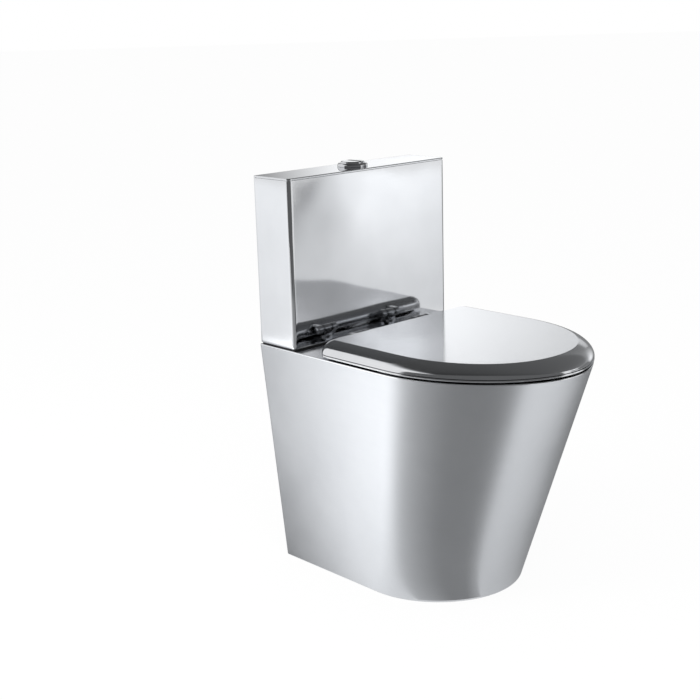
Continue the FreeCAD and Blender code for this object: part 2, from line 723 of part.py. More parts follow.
def make_hinge_post(side):
    """Foot on the deck and a knuckle on the hinge axis."""
    x_in, x_out = HINGE_HALF_SPACING - POST_WIDTH / 2, HINGE_HALF_SPACING + POST_WIDTH / 2
    foot_top = PAN_HEIGHT + POST_FOOT
    foot = upright(side * HINGE_HALF_SPACING, HINGE_FROM_WALL, POST_FOOT_RADIUS, PAN_HEIGHT, foot_top)
    neck = sided_block(side, x_in, x_out, HINGE_FROM_WALL - KNUCKLE_RADIUS, HINGE_FROM_WALL + KNUCKLE_RADIUS,
                       foot_top, HINGE_Z)
    knuckle = sided_bar(side, x_in, x_out, HINGE_FROM_WALL, HINGE_Z, KNUCKLE_RADIUS)
    bore = sided_bar(side, x_in, x_out, HINGE_FROM_WALL, HINGE_Z, PIN_RADIUS + RUNNING_GAP)
    return joined(foot, neck, knuckle).cut(bore)


def make_hinge_pin(side):
    """Headed pin held by the seat and running in the post and the lid."""
    head_start = LID_KNUCKLE_OUT + RUNNING_GAP
    pin = sided_bar(side, SEAT_KNUCKLE_IN, head_start, HINGE_FROM_WALL, HINGE_Z, PIN_RADIUS)
    head = sided_bar(side, head_start, head_start + PIN_HEAD, HINGE_FROM_WALL, HINGE_Z, PIN_HEAD_RADIUS)
    return joined(pin, head)


def make_seat_hinge_bracket(side):
    """Knuckle and strap under the seat's flange."""
    x_in, x_out = SEAT_KNUCKLE_IN, SEAT_KNUCKLE_OUT
    strap_foot = SEAT_UNDER - STRAP
    knuckle = sided_bar(side, x_in, x_out, HINGE_FROM_WALL, HINGE_Z, KNUCKLE_RADIUS)
    leg = sided_block(side, x_in, x_out, HINGE_FROM_WALL, HINGE_FROM_WALL + KNUCKLE_RADIUS,
                      strap_foot, HINGE_Z)
    strap = sided_block(side, x_in, x_out, HINGE_FROM_WALL, SEAT_REAR + STRAP_GRIP, strap_foot, SEAT_UNDER)
    bore = sided_bar(side, x_in, x_out, HINGE_FROM_WALL, HINGE_Z, PIN_RADIUS)
    return joined(knuckle, leg, strap).cut(bore)


def make_lid_hinge_bracket(side):
    """Knuckle, strap and pad under the lid's top."""
    x_in, x_out = LID_KNUCKLE_IN, LID_KNUCKLE_OUT
    strap_top = HINGE_Z + KNUCKLE_RADIUS
    pad_start = SEAT_REAR + LID_ROLL_REAR + SHEET
    knuckle = sided_bar(side, x_in, x_out, HINGE_FROM_WALL, HINGE_Z, KNUCKLE_RADIUS)
    strap = sided_block(side, x_in, x_out, HINGE_FROM_WALL, pad_start + STRAP,
                        strap_top - LID_STRAP, strap_top)
    pad = sided_block(side, x_in, x_out, pad_start, pad_start + LID_PAD_LENGTH,
                      SEAT_TOP + BOLT_GAP, LID_UNDER)
    bore = sided_bar(side, x_in, x_out, HINGE_FROM_WALL, HINGE_Z, PIN_RADIUS + RUNNING_GAP)
    return joined(knuckle, strap, pad).cut(bore)


def bumpers(z_low, z_high):
    """Four rubber buttons at the sides and the rear."""
    places = ((BUMPER_SIDE_X, BUMPER_SIDE_FROM_WALL), (BUMPER_REAR_X, BUMPER_REAR_FROM_WALL))
    buttons = []
    for x, from_wall in places:
        for side in (-1, 1):
            buttons.append(upright(side * x, from_wall, BUMPER_RADIUS, z_low, z_high))
    return Part.makeCompound(buttons)


def make_hinge_stud(side):
    """Threaded stud under the post, through the deck."""
    return upright(side * HINGE_HALF_SPACING, HINGE_FROM_WALL, STUD_RADIUS,
                   PAN_HEIGHT - STUD_LENGTH, PAN_HEIGHT)


def make_hinge_washer(side):
    """Washer on the stud under the deck."""
    return sleeve(side * HINGE_HALF_SPACING, HINGE_FROM_WALL, STUD_RADIUS, WASHER_RADIUS,
                  DECK_UNDER - WASHER_THICKNESS, DECK_UNDER)


def make_hinge_nut(side):
    """Nut on the stud under the washer."""
    x, top = side * HINGE_HALF_SPACING, DECK_UNDER - WASHER_THICKNESS
    nut = hexagon(x, HINGE_FROM_WALL, NUT_FLATS, top - NUT_HEIGHT, top)
    return nut.cut(upright(x, HINGE_FROM_WALL, STUD_RADIUS, top - NUT_HEIGHT, top))


# Cistern

def cistern_block(inset, z_low, z_high):
    """Upright block on the cistern's plan, drawn in all round, with its two front corners rounded."""
    half = CISTERN_HALF_WIDTH - inset
    solid = block(-half, half, inset, CISTERN_DEPTH - inset, z_low, z_high)
    front = y_at(CISTERN_DEPTH - inset)
    corners = [edge for edge in solid.Edges
               if abs(edge.BoundBox.YMax - front) < SHEET and edge.BoundBox.ZLength > edge.BoundBox.XLength]
    return solid.makeFillet(max(CISTERN_BEND - inset, CISTERN_BEND / 4), corners)


def make_cistern_shell():
    """Folded box with an open top, holes in its floor and two wall-fixing holes."""
    shell = cistern_block(0, CISTERN_FLOOR, SHELL_TOP)
    inside = cistern_block(SHEET, CISTERN_INSIDE, SHELL_TOP)
    holes = [upright(0, CISTERN_MID, VALVE_SPIGOT_RADIUS + REST_GAP, CISTERN_FLOOR, CISTERN_INSIDE),
             upright(INLET_X, CISTERN_MID, SHANK_RADIUS + REST_GAP, CISTERN_FLOOR, CISTERN_INSIDE)]
    for side in (-1, 1):
        holes.append(upright(side * BOLT_HALF_SPACING, CISTERN_MID, STUD_RADIUS + BOLT_GAP,
                             CISTERN_FLOOR, CISTERN_INSIDE))
        holes.append(depth_bar(side * WALL_HOLE_HALF_SPACING, 0, SHEET, PAN_HEIGHT + WALL_HOLE_HEIGHT,
                               WALL_HOLE_RADIUS))
    return cut_all(shell, inside, *holes)


def make_cistern_top():
    """Tray-shaped cover with a lip that drops inside the shell."""
    lip_inset = SHEET + TOP_LIP_GAP
    plate = cistern_block(0, SHELL_TOP, CISTERN_TOP_Z)
    lip = cistern_block(lip_inset, SHELL_TOP - TOP_LIP, SHELL_TOP)
    pocket = cistern_block(lip_inset + SHEET, SHELL_TOP - TOP_LIP, CISTERN_TOP_Z - SHEET)
    hole = upright(0, CISTERN_MID, BEZEL_SLEEVE + REST_GAP, SHELL_TOP, CISTERN_TOP_Z)
    return cut_all(joined(plate, lip), pocket, hole)


def make_cistern_gasket():
    """Rubber sheet between the cistern and the deck."""
    sheet = cistern_block(GASKET_INSET, PAN_HEIGHT, CISTERN_FLOOR)
    holes = [upright(0, CISTERN_MID, DECK_VALVE_HOLE, PAN_HEIGHT, CISTERN_FLOOR),
             upright(INLET_X, CISTERN_MID, DECK_INLET_HOLE, PAN_HEIGHT, CISTERN_FLOOR)]
    for side in (-1, 1):
        holes.append(upright(side * BOLT_HALF_SPACING, CISTERN_MID, STUD_RADIUS + BOLT_GAP,
                             PAN_HEIGHT, CISTERN_FLOOR))
    return cut_all(sheet, *holes)


def make_coupling_bolt(side):
    """Bolt from inside the cistern down through the deck."""
    x, seat = side * BOLT_HALF_SPACING, CISTERN_INSIDE + WASHER_THICKNESS
    shank = upright(x, CISTERN_MID, STUD_RADIUS, PAN_HEIGHT - BOLT_DROP, seat)
    return joined(shank, upright(x, CISTERN_MID, BOLT_HEAD_RADIUS, seat, seat + BOLT_HEAD))


def make_coupling_washer(side):
    """Rubber washer under the bolt's head."""
    return sleeve(side * BOLT_HALF_SPACING, CISTERN_MID, STUD_RADIUS, WASHER_RADIUS,
                  CISTERN_INSIDE, CISTERN_INSIDE + WASHER_THICKNESS)


def make_wing_nut(side):
    """Wing nut under the deck."""
    x, top = side * BOLT_HALF_SPACING, DECK_UNDER
    low, half = top - WING_HEIGHT, WING_THICKNESS / 2
    body = upright(x, CISTERN_MID, WING_RADIUS, low, top)
    wings = block(x - WING_REACH, x + WING_REACH, CISTERN_MID - half, CISTERN_MID + half, low, top)
    return joined(body, wings).cut(upright(x, CISTERN_MID, STUD_RADIUS, low, top))


# Push buttons

def make_button_bezel():
    """Round collar on the cistern top with a sleeve and a floor that guides the push rods."""
    low = CISTERN_TOP_Z - BEZEL_DROP
    high = CISTERN_TOP_Z + BEZEL_HEIGHT
    collar = upright(0, CISTERN_MID, BEZEL_RADIUS, CISTERN_TOP_Z, high)
    body = upright(0, CISTERN_MID, BEZEL_SLEEVE, low, CISTERN_TOP_Z)
    well = upright(0, CISTERN_MID, BEZEL_BORE, BEZEL_FLOOR_TOP, high)
    guides = [upright(x, CISTERN_MID, ROD_RADIUS + RUNNING_GAP, low, BEZEL_FLOOR_TOP)
              for x in (FULL_ROD_X, HALF_ROD_X)]
    return cut_all(joined(collar, body), well, *guides)


def make_bezel_nut():
    """Ring nut that holds the bezel from below."""
    top = CISTERN_TOP_Z - SHEET
    return sleeve(0, CISTERN_MID, BEZEL_SLEEVE, BEZEL_NUT_RADIUS, top - BEZEL_NUT_HEIGHT, top)


def make_button(x_low, x_high):
    """Segment of the round button between two X."""
    disc = upright(0, CISTERN_MID, BUTTON_RADIUS, BUTTON_UNDER, BUTTON_TOP)
    slab = block(x_low, x_high, CISTERN_MID - BEZEL_RADIUS, CISTERN_MID + BEZEL_RADIUS,
                 BUTTON_UNDER, BUTTON_TOP)
    return disc.common(slab)


def make_push_rod(side, rod_x, tip_z):
    """Rod under a button with an arm out to its rocker and a rounded foot."""
    foot_x = side * (ROCKER_PIVOT_X + ROCKER_OUTER)
    rod = upright(rod_x, CISTERN_MID, ROD_RADIUS, ROD_ARM_TOP - ROD_ARM, BUTTON_UNDER)
    x_low, x_high = sorted((rod_x, foot_x))
    arm = block(x_low - ROD_RADIUS, x_high + ROD_RADIUS, CISTERN_MID - ROD_RADIUS, CISTERN_MID + ROD_RADIUS,
                ROD_ARM_TOP - ROD_ARM, ROD_ARM_TOP)
    foot = upright(foot_x, CISTERN_MID, ROD_RADIUS, tip_z + ROD_RADIUS, ROD_ARM_TOP)
    tip = Part.makeSphere(ROD_RADIUS, Vector(foot_x, y_at(CISTERN_MID), tip_z + ROD_RADIUS))
    return joined(rod, arm, foot, tip)


def make_button_spring(rod_x):
    """Return spring round a push rod, one unbroken wire of quarter turns."""
    low = BEZEL_FLOOR_TOP + SPRING_WIRE
    rise = BUTTON_UNDER - SPRING_WIRE - low
    quarters = 4 * SPRING_TURNS

    def at(share):
        angle = 2 * math.pi * SPRING_TURNS * share
        return Vector(rod_x + SPRING_RADIUS * math.cos(angle),
                      y_at(CISTERN_MID) + SPRING_RADIUS * math.sin(angle), low + rise * share)

    edges = [Part.Arc(at(n / quarters), at((n + 0.5) / quarters), at((n + 1) / quarters)).toShape()
             for n in range(quarters)]
    start = edges[0]
    direction = start.tangentAt(start.FirstParameter)
    section = Part.Wire(Part.makeCircle(SPRING_WIRE, at(0), direction))
    print("spring gap between turns: %.2f mm" % (rise / SPRING_TURNS - 2 * SPRING_WIRE))
    return Part.Wire(edges).makePipeShell([section], True, False)


# Flush valve

def make_valve_base():
    """Threaded spigot through the cistern floor, with the seat lip and the posts that carry the tower."""
    low = CISTERN_FLOOR - VALVE_DROP
    spigot = upright(0, CISTERN_MID, VALVE_SPIGOT_RADIUS, low, VALVE_FLANGE_UNDER)
    flange = upright(0, CISTERN_MID, VALVE_FLANGE_RADIUS, VALVE_FLANGE_UNDER, VALVE_FLANGE_TOP)
    lip = upright(0, CISTERN_MID, VALVE_BORE + VALVE_LIP_WIDTH, VALVE_FLANGE_TOP, VALVE_SEAT)
    bore = upright(0, CISTERN_MID, VALVE_BORE, low, VALVE_SEAT)
    posts = []
    for turn in range(VALVE_POST_COUNT):
        angle = 2 * math.pi * (turn + 0.5) / VALVE_POST_COUNT
        across = VALVE_POST_CIRCLE * math.cos(angle)
        from_wall = CISTERN_MID + VALVE_POST_CIRCLE * math.sin(angle)
        posts.append(upright(across, from_wall, VALVE_POST_RADIUS, VALVE_FLANGE_TOP, TOWER_FOOT))
    return joined(spigot, flange, lip, *posts).cut(bore)


def make_valve_back_nut():
    """Large nut under the cistern floor."""
    low = CISTERN_FLOOR - BACK_NUT_HEIGHT
    return sleeve(0, CISTERN_MID, VALVE_SPIGOT_RADIUS, BACK_NUT_RADIUS, low, CISTERN_FLOOR)


def rocker_z(lifted_z):
    """Height of a rocker's pivot when its tip lies just under the ring it lifts."""
    return lifted_z - ROCKER_CLEARANCE - ROCKER_THICKNESS / 2


def tower_arm(side, pivot_z):
    """Arm beside the tower with two lugs and the pin that a rocker turns on."""
    x_in = TOWER_RADIUS - TOWER_WALL
    x_out = ROCKER_PIVOT_X + LUG_WIDTH / 2
    gap = ROCKER_WIDTH / 2 + BOLT_GAP
    reach = gap + LUG_THICKNESS
    near, far = CISTERN_MID - reach, CISTERN_MID + reach
    lug_top = pivot_z + LUG_WIDTH / 2
    arm = sided_block(side, x_in, x_out, near, far, TOWER_TOP - ARM_THICKNESS, TOWER_TOP)
    lugs = []
    for lug_near, lug_far in ((near, CISTERN_MID - gap), (CISTERN_MID + gap, far)):
        lugs.append(sided_block(side, x_out - LUG_WIDTH, x_out, lug_near, lug_far, TOWER_TOP, lug_top))
    pin = depth_bar(side * ROCKER_PIVOT_X, near, far, pivot_z, ROCKER_PIN_RADIUS)
    return joined(arm, *lugs, pin)


def make_valve_tower():
    """Guide tower on the base: two guide plates, a tube and an arm for each rocker."""
    foot_top = TOWER_FOOT + TOWER_PLATE
    foot = upright(0, CISTERN_MID, VALVE_FLANGE_RADIUS, TOWER_FOOT, foot_top)
    wall = sleeve(0, CISTERN_MID, TOWER_RADIUS - TOWER_WALL, TOWER_RADIUS, foot_top, TOWER_TOP)
    top = upright(0, CISTERN_MID, TOWER_RADIUS, TOWER_TOP - TOWER_PLATE, TOWER_TOP)
    guide = upright(0, CISTERN_MID, TUBE_RADIUS + RUNNING_GAP, TOWER_FOOT, TOWER_TOP)
    left = tower_arm(-1, rocker_z(FULL_COLLAR_Z))
    right = tower_arm(1, rocker_z(HALF_RING_Z))
    return joined(foot, wall, top, left, right).cut(guide)


def make_overflow_tube():
    """Lifting tube that carries the seal, with the collar that the full-flush rocker raises."""
    high = FULL_COLLAR_Z + COLLAR_THICKNESS
    tube = upright(0, CISTERN_MID, TUBE_RADIUS, VALVE_SEAT + SEAL_THICKNESS, high)
    collar = upright(0, CISTERN_MID, COLLAR_RADIUS, FULL_COLLAR_Z, high)
    return joined(tube, collar).cut(upright(0, CISTERN_MID, TUBE_RADIUS - TUBE_WALL, VALVE_SEAT, high))


def make_rocker(side, lifted_z):
    """Rocking lever: a push rod presses its outer end and its inner end lifts a ring."""
    z, half = rocker_z(lifted_z), ROCKER_WIDTH / 2
    x_in = ROCKER_PIVOT_X - ROCKER_INNER
    x_out = ROCKER_PIVOT_X + ROCKER_OUTER + ROCKER_END
    near, far = CISTERN_MID - half, CISTERN_MID + half
    plate = sided_block(side, x_in, x_out, near, far, z - ROCKER_THICKNESS / 2, z + ROCKER_THICKNESS / 2)
    boss = depth_bar(side * ROCKER_PIVOT_X, near, far, z, ROCKER_BOSS_RADIUS)
    bore = depth_bar(side * ROCKER_PIVOT_X, near, far, z, ROCKER_PIN_RADIUS + RUNNING_GAP)
    return joined(plate, boss).cut(bore)


# Fill valve

def make_fill_valve_body():
    """Threaded inlet shank, flange and column."""
    nut_under = CISTERN_FLOOR - INLET_NUT_HEIGHT
    free_end = upright(INLET_X, CISTERN_MID, INLET_THREAD_RADIUS, CISTERN_FLOOR - SHANK_DROP, nut_under)
    shank = upright(INLET_X, CISTERN_MID, SHANK_RADIUS, nut_under, VALVE_FLANGE_UNDER)
    flange_top = VALVE_FLANGE_UNDER + SHANK_FLANGE
    flange = upright(INLET_X, CISTERN_MID, SHANK_FLANGE_RADIUS, VALVE_FLANGE_UNDER, flange_top)
    column = upright(INLET_X, CISTERN_MID, COLUMN_RADIUS, flange_top, COLUMN_TOP)
    bore = upright(INLET_X, CISTERN_MID, FILL_BORE, CISTERN_FLOOR - SHANK_DROP, COLUMN_TOP)
    return joined(free_end, shank, flange, column).cut(bore)


def make_fill_valve_cap():
    """Valve head on the column, with the lugs and the pin of the float lever."""
    pivot_x = INLET_X + LEVER_PIVOT
    gap = LEVER_WIDTH / 2 + BOLT_GAP
    reach = gap + LUG_THICKNESS
    near, far = CISTERN_MID - reach, CISTERN_MID + reach
    half = LUG_WIDTH / 2
    head = upright(INLET_X, CISTERN_MID, CAP_RADIUS, COLUMN_TOP, CAP_TOP)
    lugs = []
    for lug_near, lug_far in ((near, CISTERN_MID - gap), (CISTERN_MID + gap, far)):
        lugs.append(block(pivot_x - half, pivot_x + half, lug_near, lug_far,
                          CAP_TOP - LUG_THICKNESS, LEVER_Z + half))
    pin = depth_bar(pivot_x, near, far, LEVER_Z, ROCKER_PIN_RADIUS)
    return joined(head, *lugs, pin)


def make_inlet_nut():
    """Nut on the shank under the cistern floor."""
    low = CISTERN_FLOOR - INLET_NUT_HEIGHT
    nut = hexagon(INLET_X, CISTERN_MID, INLET_NUT_FLATS, low, CISTERN_FLOOR)
    return nut.cut(upright(INLET_X, CISTERN_MID, SHANK_RADIUS, low, CISTERN_FLOOR))


def float_rod_x():
    """X of the rod between the float and the lever."""
    return INLET_X + LEVER_PIVOT - LEVER_ARM


def make_fill_float():
    """Ring float on the column with an ear for the rod."""
    low = FLOAT_TOP - FLOAT_HEIGHT
    ring = upright(INLET_X, CISTERN_MID, FLOAT_RADIUS, low, FLOAT_TOP)
    ear = block(float_rod_x() - FLOAT_EAR, INLET_X, CISTERN_MID - FLOAT_EAR, CISTERN_MID + FLOAT_EAR,
                FLOAT_TOP - FLOAT_EAR, FLOAT_TOP)
    return joined(ring, ear).cut(upright(INLET_X, CISTERN_MID, COLUMN_RADIUS + RUNNING_GAP, low, FLOAT_TOP))


def make_float_rod():
    """Upright rod on the float's ear with a stop on each side of the lever."""
    x = float_rod_x()
    slack = LEVER_THICKNESS / 2 + ROD_STOP_GAP
    high = LEVER_Z + slack + ROD_STOP
    rod = upright(x, CISTERN_MID, FLOAT_ROD_RADIUS, FLOAT_TOP, high)
    upper = upright(x, CISTERN_MID, ROD_STOP_RADIUS, LEVER_Z + slack, high)
    lower = upright(x, CISTERN_MID, ROD_STOP_RADIUS, LEVER_Z - slack - ROD_STOP, LEVER_Z - slack)
    return joined(rod, upper, lower)


def make_float_lever():
    """Lever on the valve head that the float's rod swings."""
    pivot_x, rod_x = INLET_X + LEVER_PIVOT, float_rod_x()
    half = LEVER_WIDTH / 2
    near, far = CISTERN_MID - half, CISTERN_MID + half
    low, high = LEVER_Z - LEVER_THICKNESS / 2, LEVER_Z + LEVER_THICKNESS / 2
    plate = block(rod_x - LEVER_SLOT / 2 - LEVER_END, pivot_x, near, far, low, high)
    boss = depth_bar(pivot_x, near, far, LEVER_Z, ROCKER_BOSS_RADIUS)
    slot = block(rod_x - LEVER_SLOT / 2, rod_x + LEVER_SLOT / 2, CISTERN_MID - LEVER_SLOT_WIDTH / 2,
                 CISTERN_MID + LEVER_SLOT_WIDTH / 2, low, high)
    bore = depth_bar(pivot_x, near, far, LEVER_Z, ROCKER_PIN_RADIUS + RUNNING_GAP)
    return cut_all(joined(plate, boss), slot, bore)


def make_all():
    """Every piece by its name."""
    full_tip = rocker_z(FULL_COLLAR_Z) + ROCKER_THICKNESS / 2 + ROD_CLEARANCE
    half_tip = rocker_z(HALF_RING_Z) + ROCKER_THICKNESS / 2 + ROD_CLEARANCE
    split_low = BUTTON_SPLIT_X - BUTTON_SPLIT / 2
    split_high = BUTTON_SPLIT_X + BUTTON_SPLIT / 2
    return {
        "pan_shroud": make_pan_shroud(),
        "pan_deck": make_pan_deck(),
        "bowl": make_bowl(),
        "bowl_sump": make_bowl_sump(),
        "flush_rim": make_flush_rim(),
        "flush_duct": make_flush_duct(),
        "trap_inlet": make_trap_inlet(),
        "trap_bend": make_trap_bend(),
        "trap_outlet": make_trap_outlet(),
        "outlet_spigot": make_outlet_spigot(),
        "rear_brace": make_rear_brace(),
        "floor_brackets": make_floor_brackets(),
        "seat_ring": make_seat_ring(),
        "seat_hinge_brackets": pair(make_seat_hinge_bracket),
        "seat_bumpers": bumpers(PAN_HEIGHT + REST_GAP, SEAT_TOP - SEAT_WALL),
        "lid": make_lid(),
        "lid_hinge_brackets": pair(make_lid_hinge_bracket),
        "lid_bumpers": bumpers(SEAT_TOP + REST_GAP, LID_UNDER),
        "hinge_posts": pair(make_hinge_post),
        "hinge_pins": pair(make_hinge_pin),
        "hinge_studs": pair(make_hinge_stud),
        "hinge_washers": pair(make_hinge_washer),
        "hinge_nuts": pair(make_hinge_nut),
        "cistern_shell": make_cistern_shell(),
        "cistern_top": make_cistern_top(),
        "cistern_gasket": make_cistern_gasket(),
        "coupling_bolts": pair(make_coupling_bolt),
        "coupling_washers": pair(make_coupling_washer),
        "coupling_wing_nuts": pair(make_wing_nut),
        "button_bezel": make_button_bezel(),
        "bezel_nut": make_bezel_nut(),
        "full_flush_button": make_button(-BEZEL_RADIUS, split_low),
        "half_flush_button": make_button(split_high, BEZEL_RADIUS),
        "full_push_rod": make_push_rod(-1, FULL_ROD_X, full_tip),
        "half_push_rod": make_push_rod(1, HALF_ROD_X, half_tip),
        "full_button_spring": make_button_spring(FULL_ROD_X),
        "half_button_spring": make_button_spring(HALF_ROD_X),
        "valve_base": make_valve_base(),
        "valve_washer": sleeve(0, CISTERN_MID, VALVE_SPIGOT_RADIUS, VALVE_FLANGE_RADIUS,
                               CISTERN_INSIDE, VALVE_FLANGE_UNDER),
        "valve_back_nut": make_valve_back_nut(),
        "valve_tower": make_valve_tower(),
        "overflow_tube": make_overflow_tube(),
        "flush_seal": sleeve(0, CISTERN_MID, TUBE_RADIUS - TUBE_WALL, SEAL_RADIUS,
                             VALVE_SEAT, VALVE_SEAT + SEAL_THICKNESS),
        "half_lift_ring": sleeve(0, CISTERN_MID, TUBE_RADIUS + RUNNING_GAP, COLLAR_RADIUS,
                                 HALF_RING_Z, HALF_RING_Z + COLLAR_THICKNESS),
        "full_rocker": make_rocker(-1, FULL_COLLAR_Z),
        "half_rocker": make_rocker(1, HALF_RING_Z),
        "fill_valve_body": make_fill_valve_body(),
        "fill_valve_cap": make_fill_valve_cap(),
        "inlet_washer": sleeve(INLET_X, CISTERN_MID, SHANK_RADIUS, SHANK_FLANGE_RADIUS,
                               CISTERN_INSIDE, VALVE_FLANGE_UNDER),
        "inlet_nut": make_inlet_nut(),
        "fill_float": make_fill_float(),
        "float_rod": make_float_rod(),
        "float_lever": make_float_lever(),
    }


os.makedirs("parts", exist_ok=True)
PIECES = make_all()
for name, shape in PIECES.items():
    shape.exportStep("parts/%s.step" % name)
    print("%-20s solids %d  volume %.0f  valid %s"
          % (name, len(shape.Solids), shape.Volume, shape.isValid()))
WHOLE = Part.makeCompound(list(PIECES.values())).BoundBox
print("overall x %.2f..%.2f  y %.2f..%.2f  z %.2f..%.2f"
      % (WHOLE.XMin, WHOLE.XMax, WHOLE.YMin, WHOLE.YMax, WHOLE.ZMin, WHOLE.ZMax))
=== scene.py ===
import json
import logging
import math
from dataclasses import dataclass, replace
from enum import Enum, IntEnum
from itertools import pairwise
from typing import Iterable, Iterator, Sequence

import bmesh
import bpy
from bmesh.types import BMVert
from mathutils import Matrix, Vector


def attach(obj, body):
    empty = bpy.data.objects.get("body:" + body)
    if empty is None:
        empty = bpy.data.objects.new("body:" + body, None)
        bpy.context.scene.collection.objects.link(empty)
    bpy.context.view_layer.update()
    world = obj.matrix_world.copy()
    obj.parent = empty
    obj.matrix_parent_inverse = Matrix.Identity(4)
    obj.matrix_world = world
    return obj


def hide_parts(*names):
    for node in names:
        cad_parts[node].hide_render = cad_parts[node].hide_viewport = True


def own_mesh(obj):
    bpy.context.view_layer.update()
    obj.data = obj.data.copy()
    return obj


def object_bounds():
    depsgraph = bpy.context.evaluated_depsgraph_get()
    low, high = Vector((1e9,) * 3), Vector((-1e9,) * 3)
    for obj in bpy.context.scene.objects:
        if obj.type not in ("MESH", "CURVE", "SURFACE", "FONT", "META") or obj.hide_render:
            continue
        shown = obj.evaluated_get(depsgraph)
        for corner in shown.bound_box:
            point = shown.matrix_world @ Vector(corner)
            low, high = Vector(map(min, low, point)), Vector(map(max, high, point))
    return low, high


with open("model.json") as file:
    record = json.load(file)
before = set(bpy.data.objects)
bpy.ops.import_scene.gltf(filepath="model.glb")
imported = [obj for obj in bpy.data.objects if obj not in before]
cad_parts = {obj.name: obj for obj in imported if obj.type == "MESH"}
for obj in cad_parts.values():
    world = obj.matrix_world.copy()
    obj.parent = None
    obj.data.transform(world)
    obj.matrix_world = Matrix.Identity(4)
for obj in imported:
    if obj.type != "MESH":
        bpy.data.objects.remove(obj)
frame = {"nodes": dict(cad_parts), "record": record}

# Stainless steel toilet suite: tapered pan, slim cistern, polished seat and lid.
# Sizes are in millimetres, and a place is (x, distance from the wall, height), until a mesh is made.

CAD_LOW, CAD_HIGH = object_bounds()
MM = 0.001
WALL = CAD_HIGH.y / MM
SIDES = (-1, 1)
SHARP_ANGLE = 32.0
BROKEN_ANGLE = 50.0
THREAD_ANGLE = 60.0
MITRE_LIMIT = 0.4
CIRCLE_HANDLE = 0.5523
PARALLEL = 1e-9
HAIR = 1e-6
WELD = 1e-7
LOG = logging.getLogger("toilet_suite")

Point = tuple[float, float]
Edge = float | Point
Spot = tuple[float, float, float]
Colour = tuple[float, float, float]
Loop = list[Point]
Ring = list[BMVert]
Piece = bpy.types.Object
Socket = bpy.types.NodeSocket


def place(x: float, from_wall: float, z: float) -> Vector:
    """Row-frame point, in metres, of a place in millimetres."""
    return Vector((x, WALL - from_wall, z)) * MM


class Axis(Enum):
    """Direction that an outline is drawn out or turned along."""

    ACROSS = "x"
    DEPTH = "y"
    UP = "z"

    def spot(self, point: Point, along: float) -> Vector:
        """Find the row-frame point of an outline's point.

        Args:
            point: (from wall, z) on ACROSS, (x, z) on DEPTH, (x, from wall) on UP.
            along: Place on the axis itself.

        Returns:
            The point in metres.
        """
        first, second = point
        if self is Axis.ACROSS:
            return place(along, first, second)
        if self is Axis.DEPTH:
            return place(first, along, second)
        return place(first, second, along)


class Sides(IntEnum):
    """Sides of the round outlines."""

    NUT = 6
    SCREW = 16
    ROD = 20
    BORE = 24
    KNOB = 32
    WASHER = 40
    VALVE = 48
    SPIGOT = 64
    COLLAR = 72


# Outlines

def between(low: float, high: float, part: float, whole: float = 1) -> float:
    """Number part of the way from one to another."""
    return low + (high - low) * part / whole


def around(items: Sequence) -> Iterator[tuple]:
    """Each item of a closed row with the next one."""
    return zip(items, [*items[1:], *items[:1]])


def quarter(steps: int) -> Loop:
    """Cosine and sine at even steps of a quarter turn."""
    angles = [math.pi / 2 * step / steps for step in range(steps + 1)]
    return [(math.cos(angle), math.sin(angle)) for angle in angles]


def mirrored(half: Loop) -> Loop:
    """Other half of an outline, back from its end."""
    return [(-x, d) for x, d in reversed(half)]


def box(low: Point, high: Point) -> Loop:
    """Rectangle between two corners."""
    return [low, (high[0], low[1]), high, (low[0], high[1])]


def arc(centre: Point, radius: float, start: float, end: float, steps: int) -> Loop:
    """Points along an arc.

    Args:
        centre: Middle of the arc.
        radius: Its radius.
        start: First angle in degrees.
        end: Last angle in degrees.
        steps: Number of chords.

    Returns:
        One point more than there are chords.
    """
    points = []
    for step in range(steps + 1):
        angle = math.radians(between(start, end, step, steps))
        points.append((centre[0] + radius * math.cos(angle), centre[1] + radius * math.sin(angle)))
    return points


def circle(centre: Point, radius: float, steps: int = 32) -> Loop:
    """Closed round outline."""
    return arc(centre, radius, 0, 360, steps)[:-1]


def bezier(start: Point, lead: Point, draw: Point, end: Point, steps: int) -> Loop:
    """Points along a cubic curve, without its first one.

    Args:
        start: First point.
        lead: Handle at the first point.
        draw: Handle at the last point.
        end: Last point.
        steps: Number of chords.

    Returns:
        As many points as chords.
    """
    points = []
    for step in range(1, steps + 1):
        t = step / steps
        s = 1 - t
        weights = (s * s * s, 3 * s * s * t, 3 * s * t * t, t * t * t)
        points.append(tuple(sum(w * p[i] for w, p in zip(weights, (start, lead, draw, end)))
                            for i in (0, 1)))
    return points


def offset(loop: Loop, by: float) -> Loop:
    """Let a closed outline out.

    Args:
        loop: The outline, in either sense.
        by: Distance, negative to draw it in.

    Returns:
        An outline with as many points.
    """
    if by == 0:
        return list(loop)
    sense = math.copysign(1, sum(a[0] * b[1] - b[0] * a[1] for a, b in around(loop)))
    moved = []
    for index, here in enumerate(loop):
        before, after = Vector(loop[index - 1]), Vector(loop[(index + 1) % len(loop)])
        first = (Vector(here) - before).normalized()
        second = (after - Vector(here)).normalized()
        side = Vector((first.y, -first.x)) * sense
        out = (side + Vector((second.y, -second.x)) * sense).normalized()
        shift = out * by / max(out.dot(side), MITRE_LIMIT)
        moved.append((here[0] + shift.x, here[1] + shift.y))
    return moved


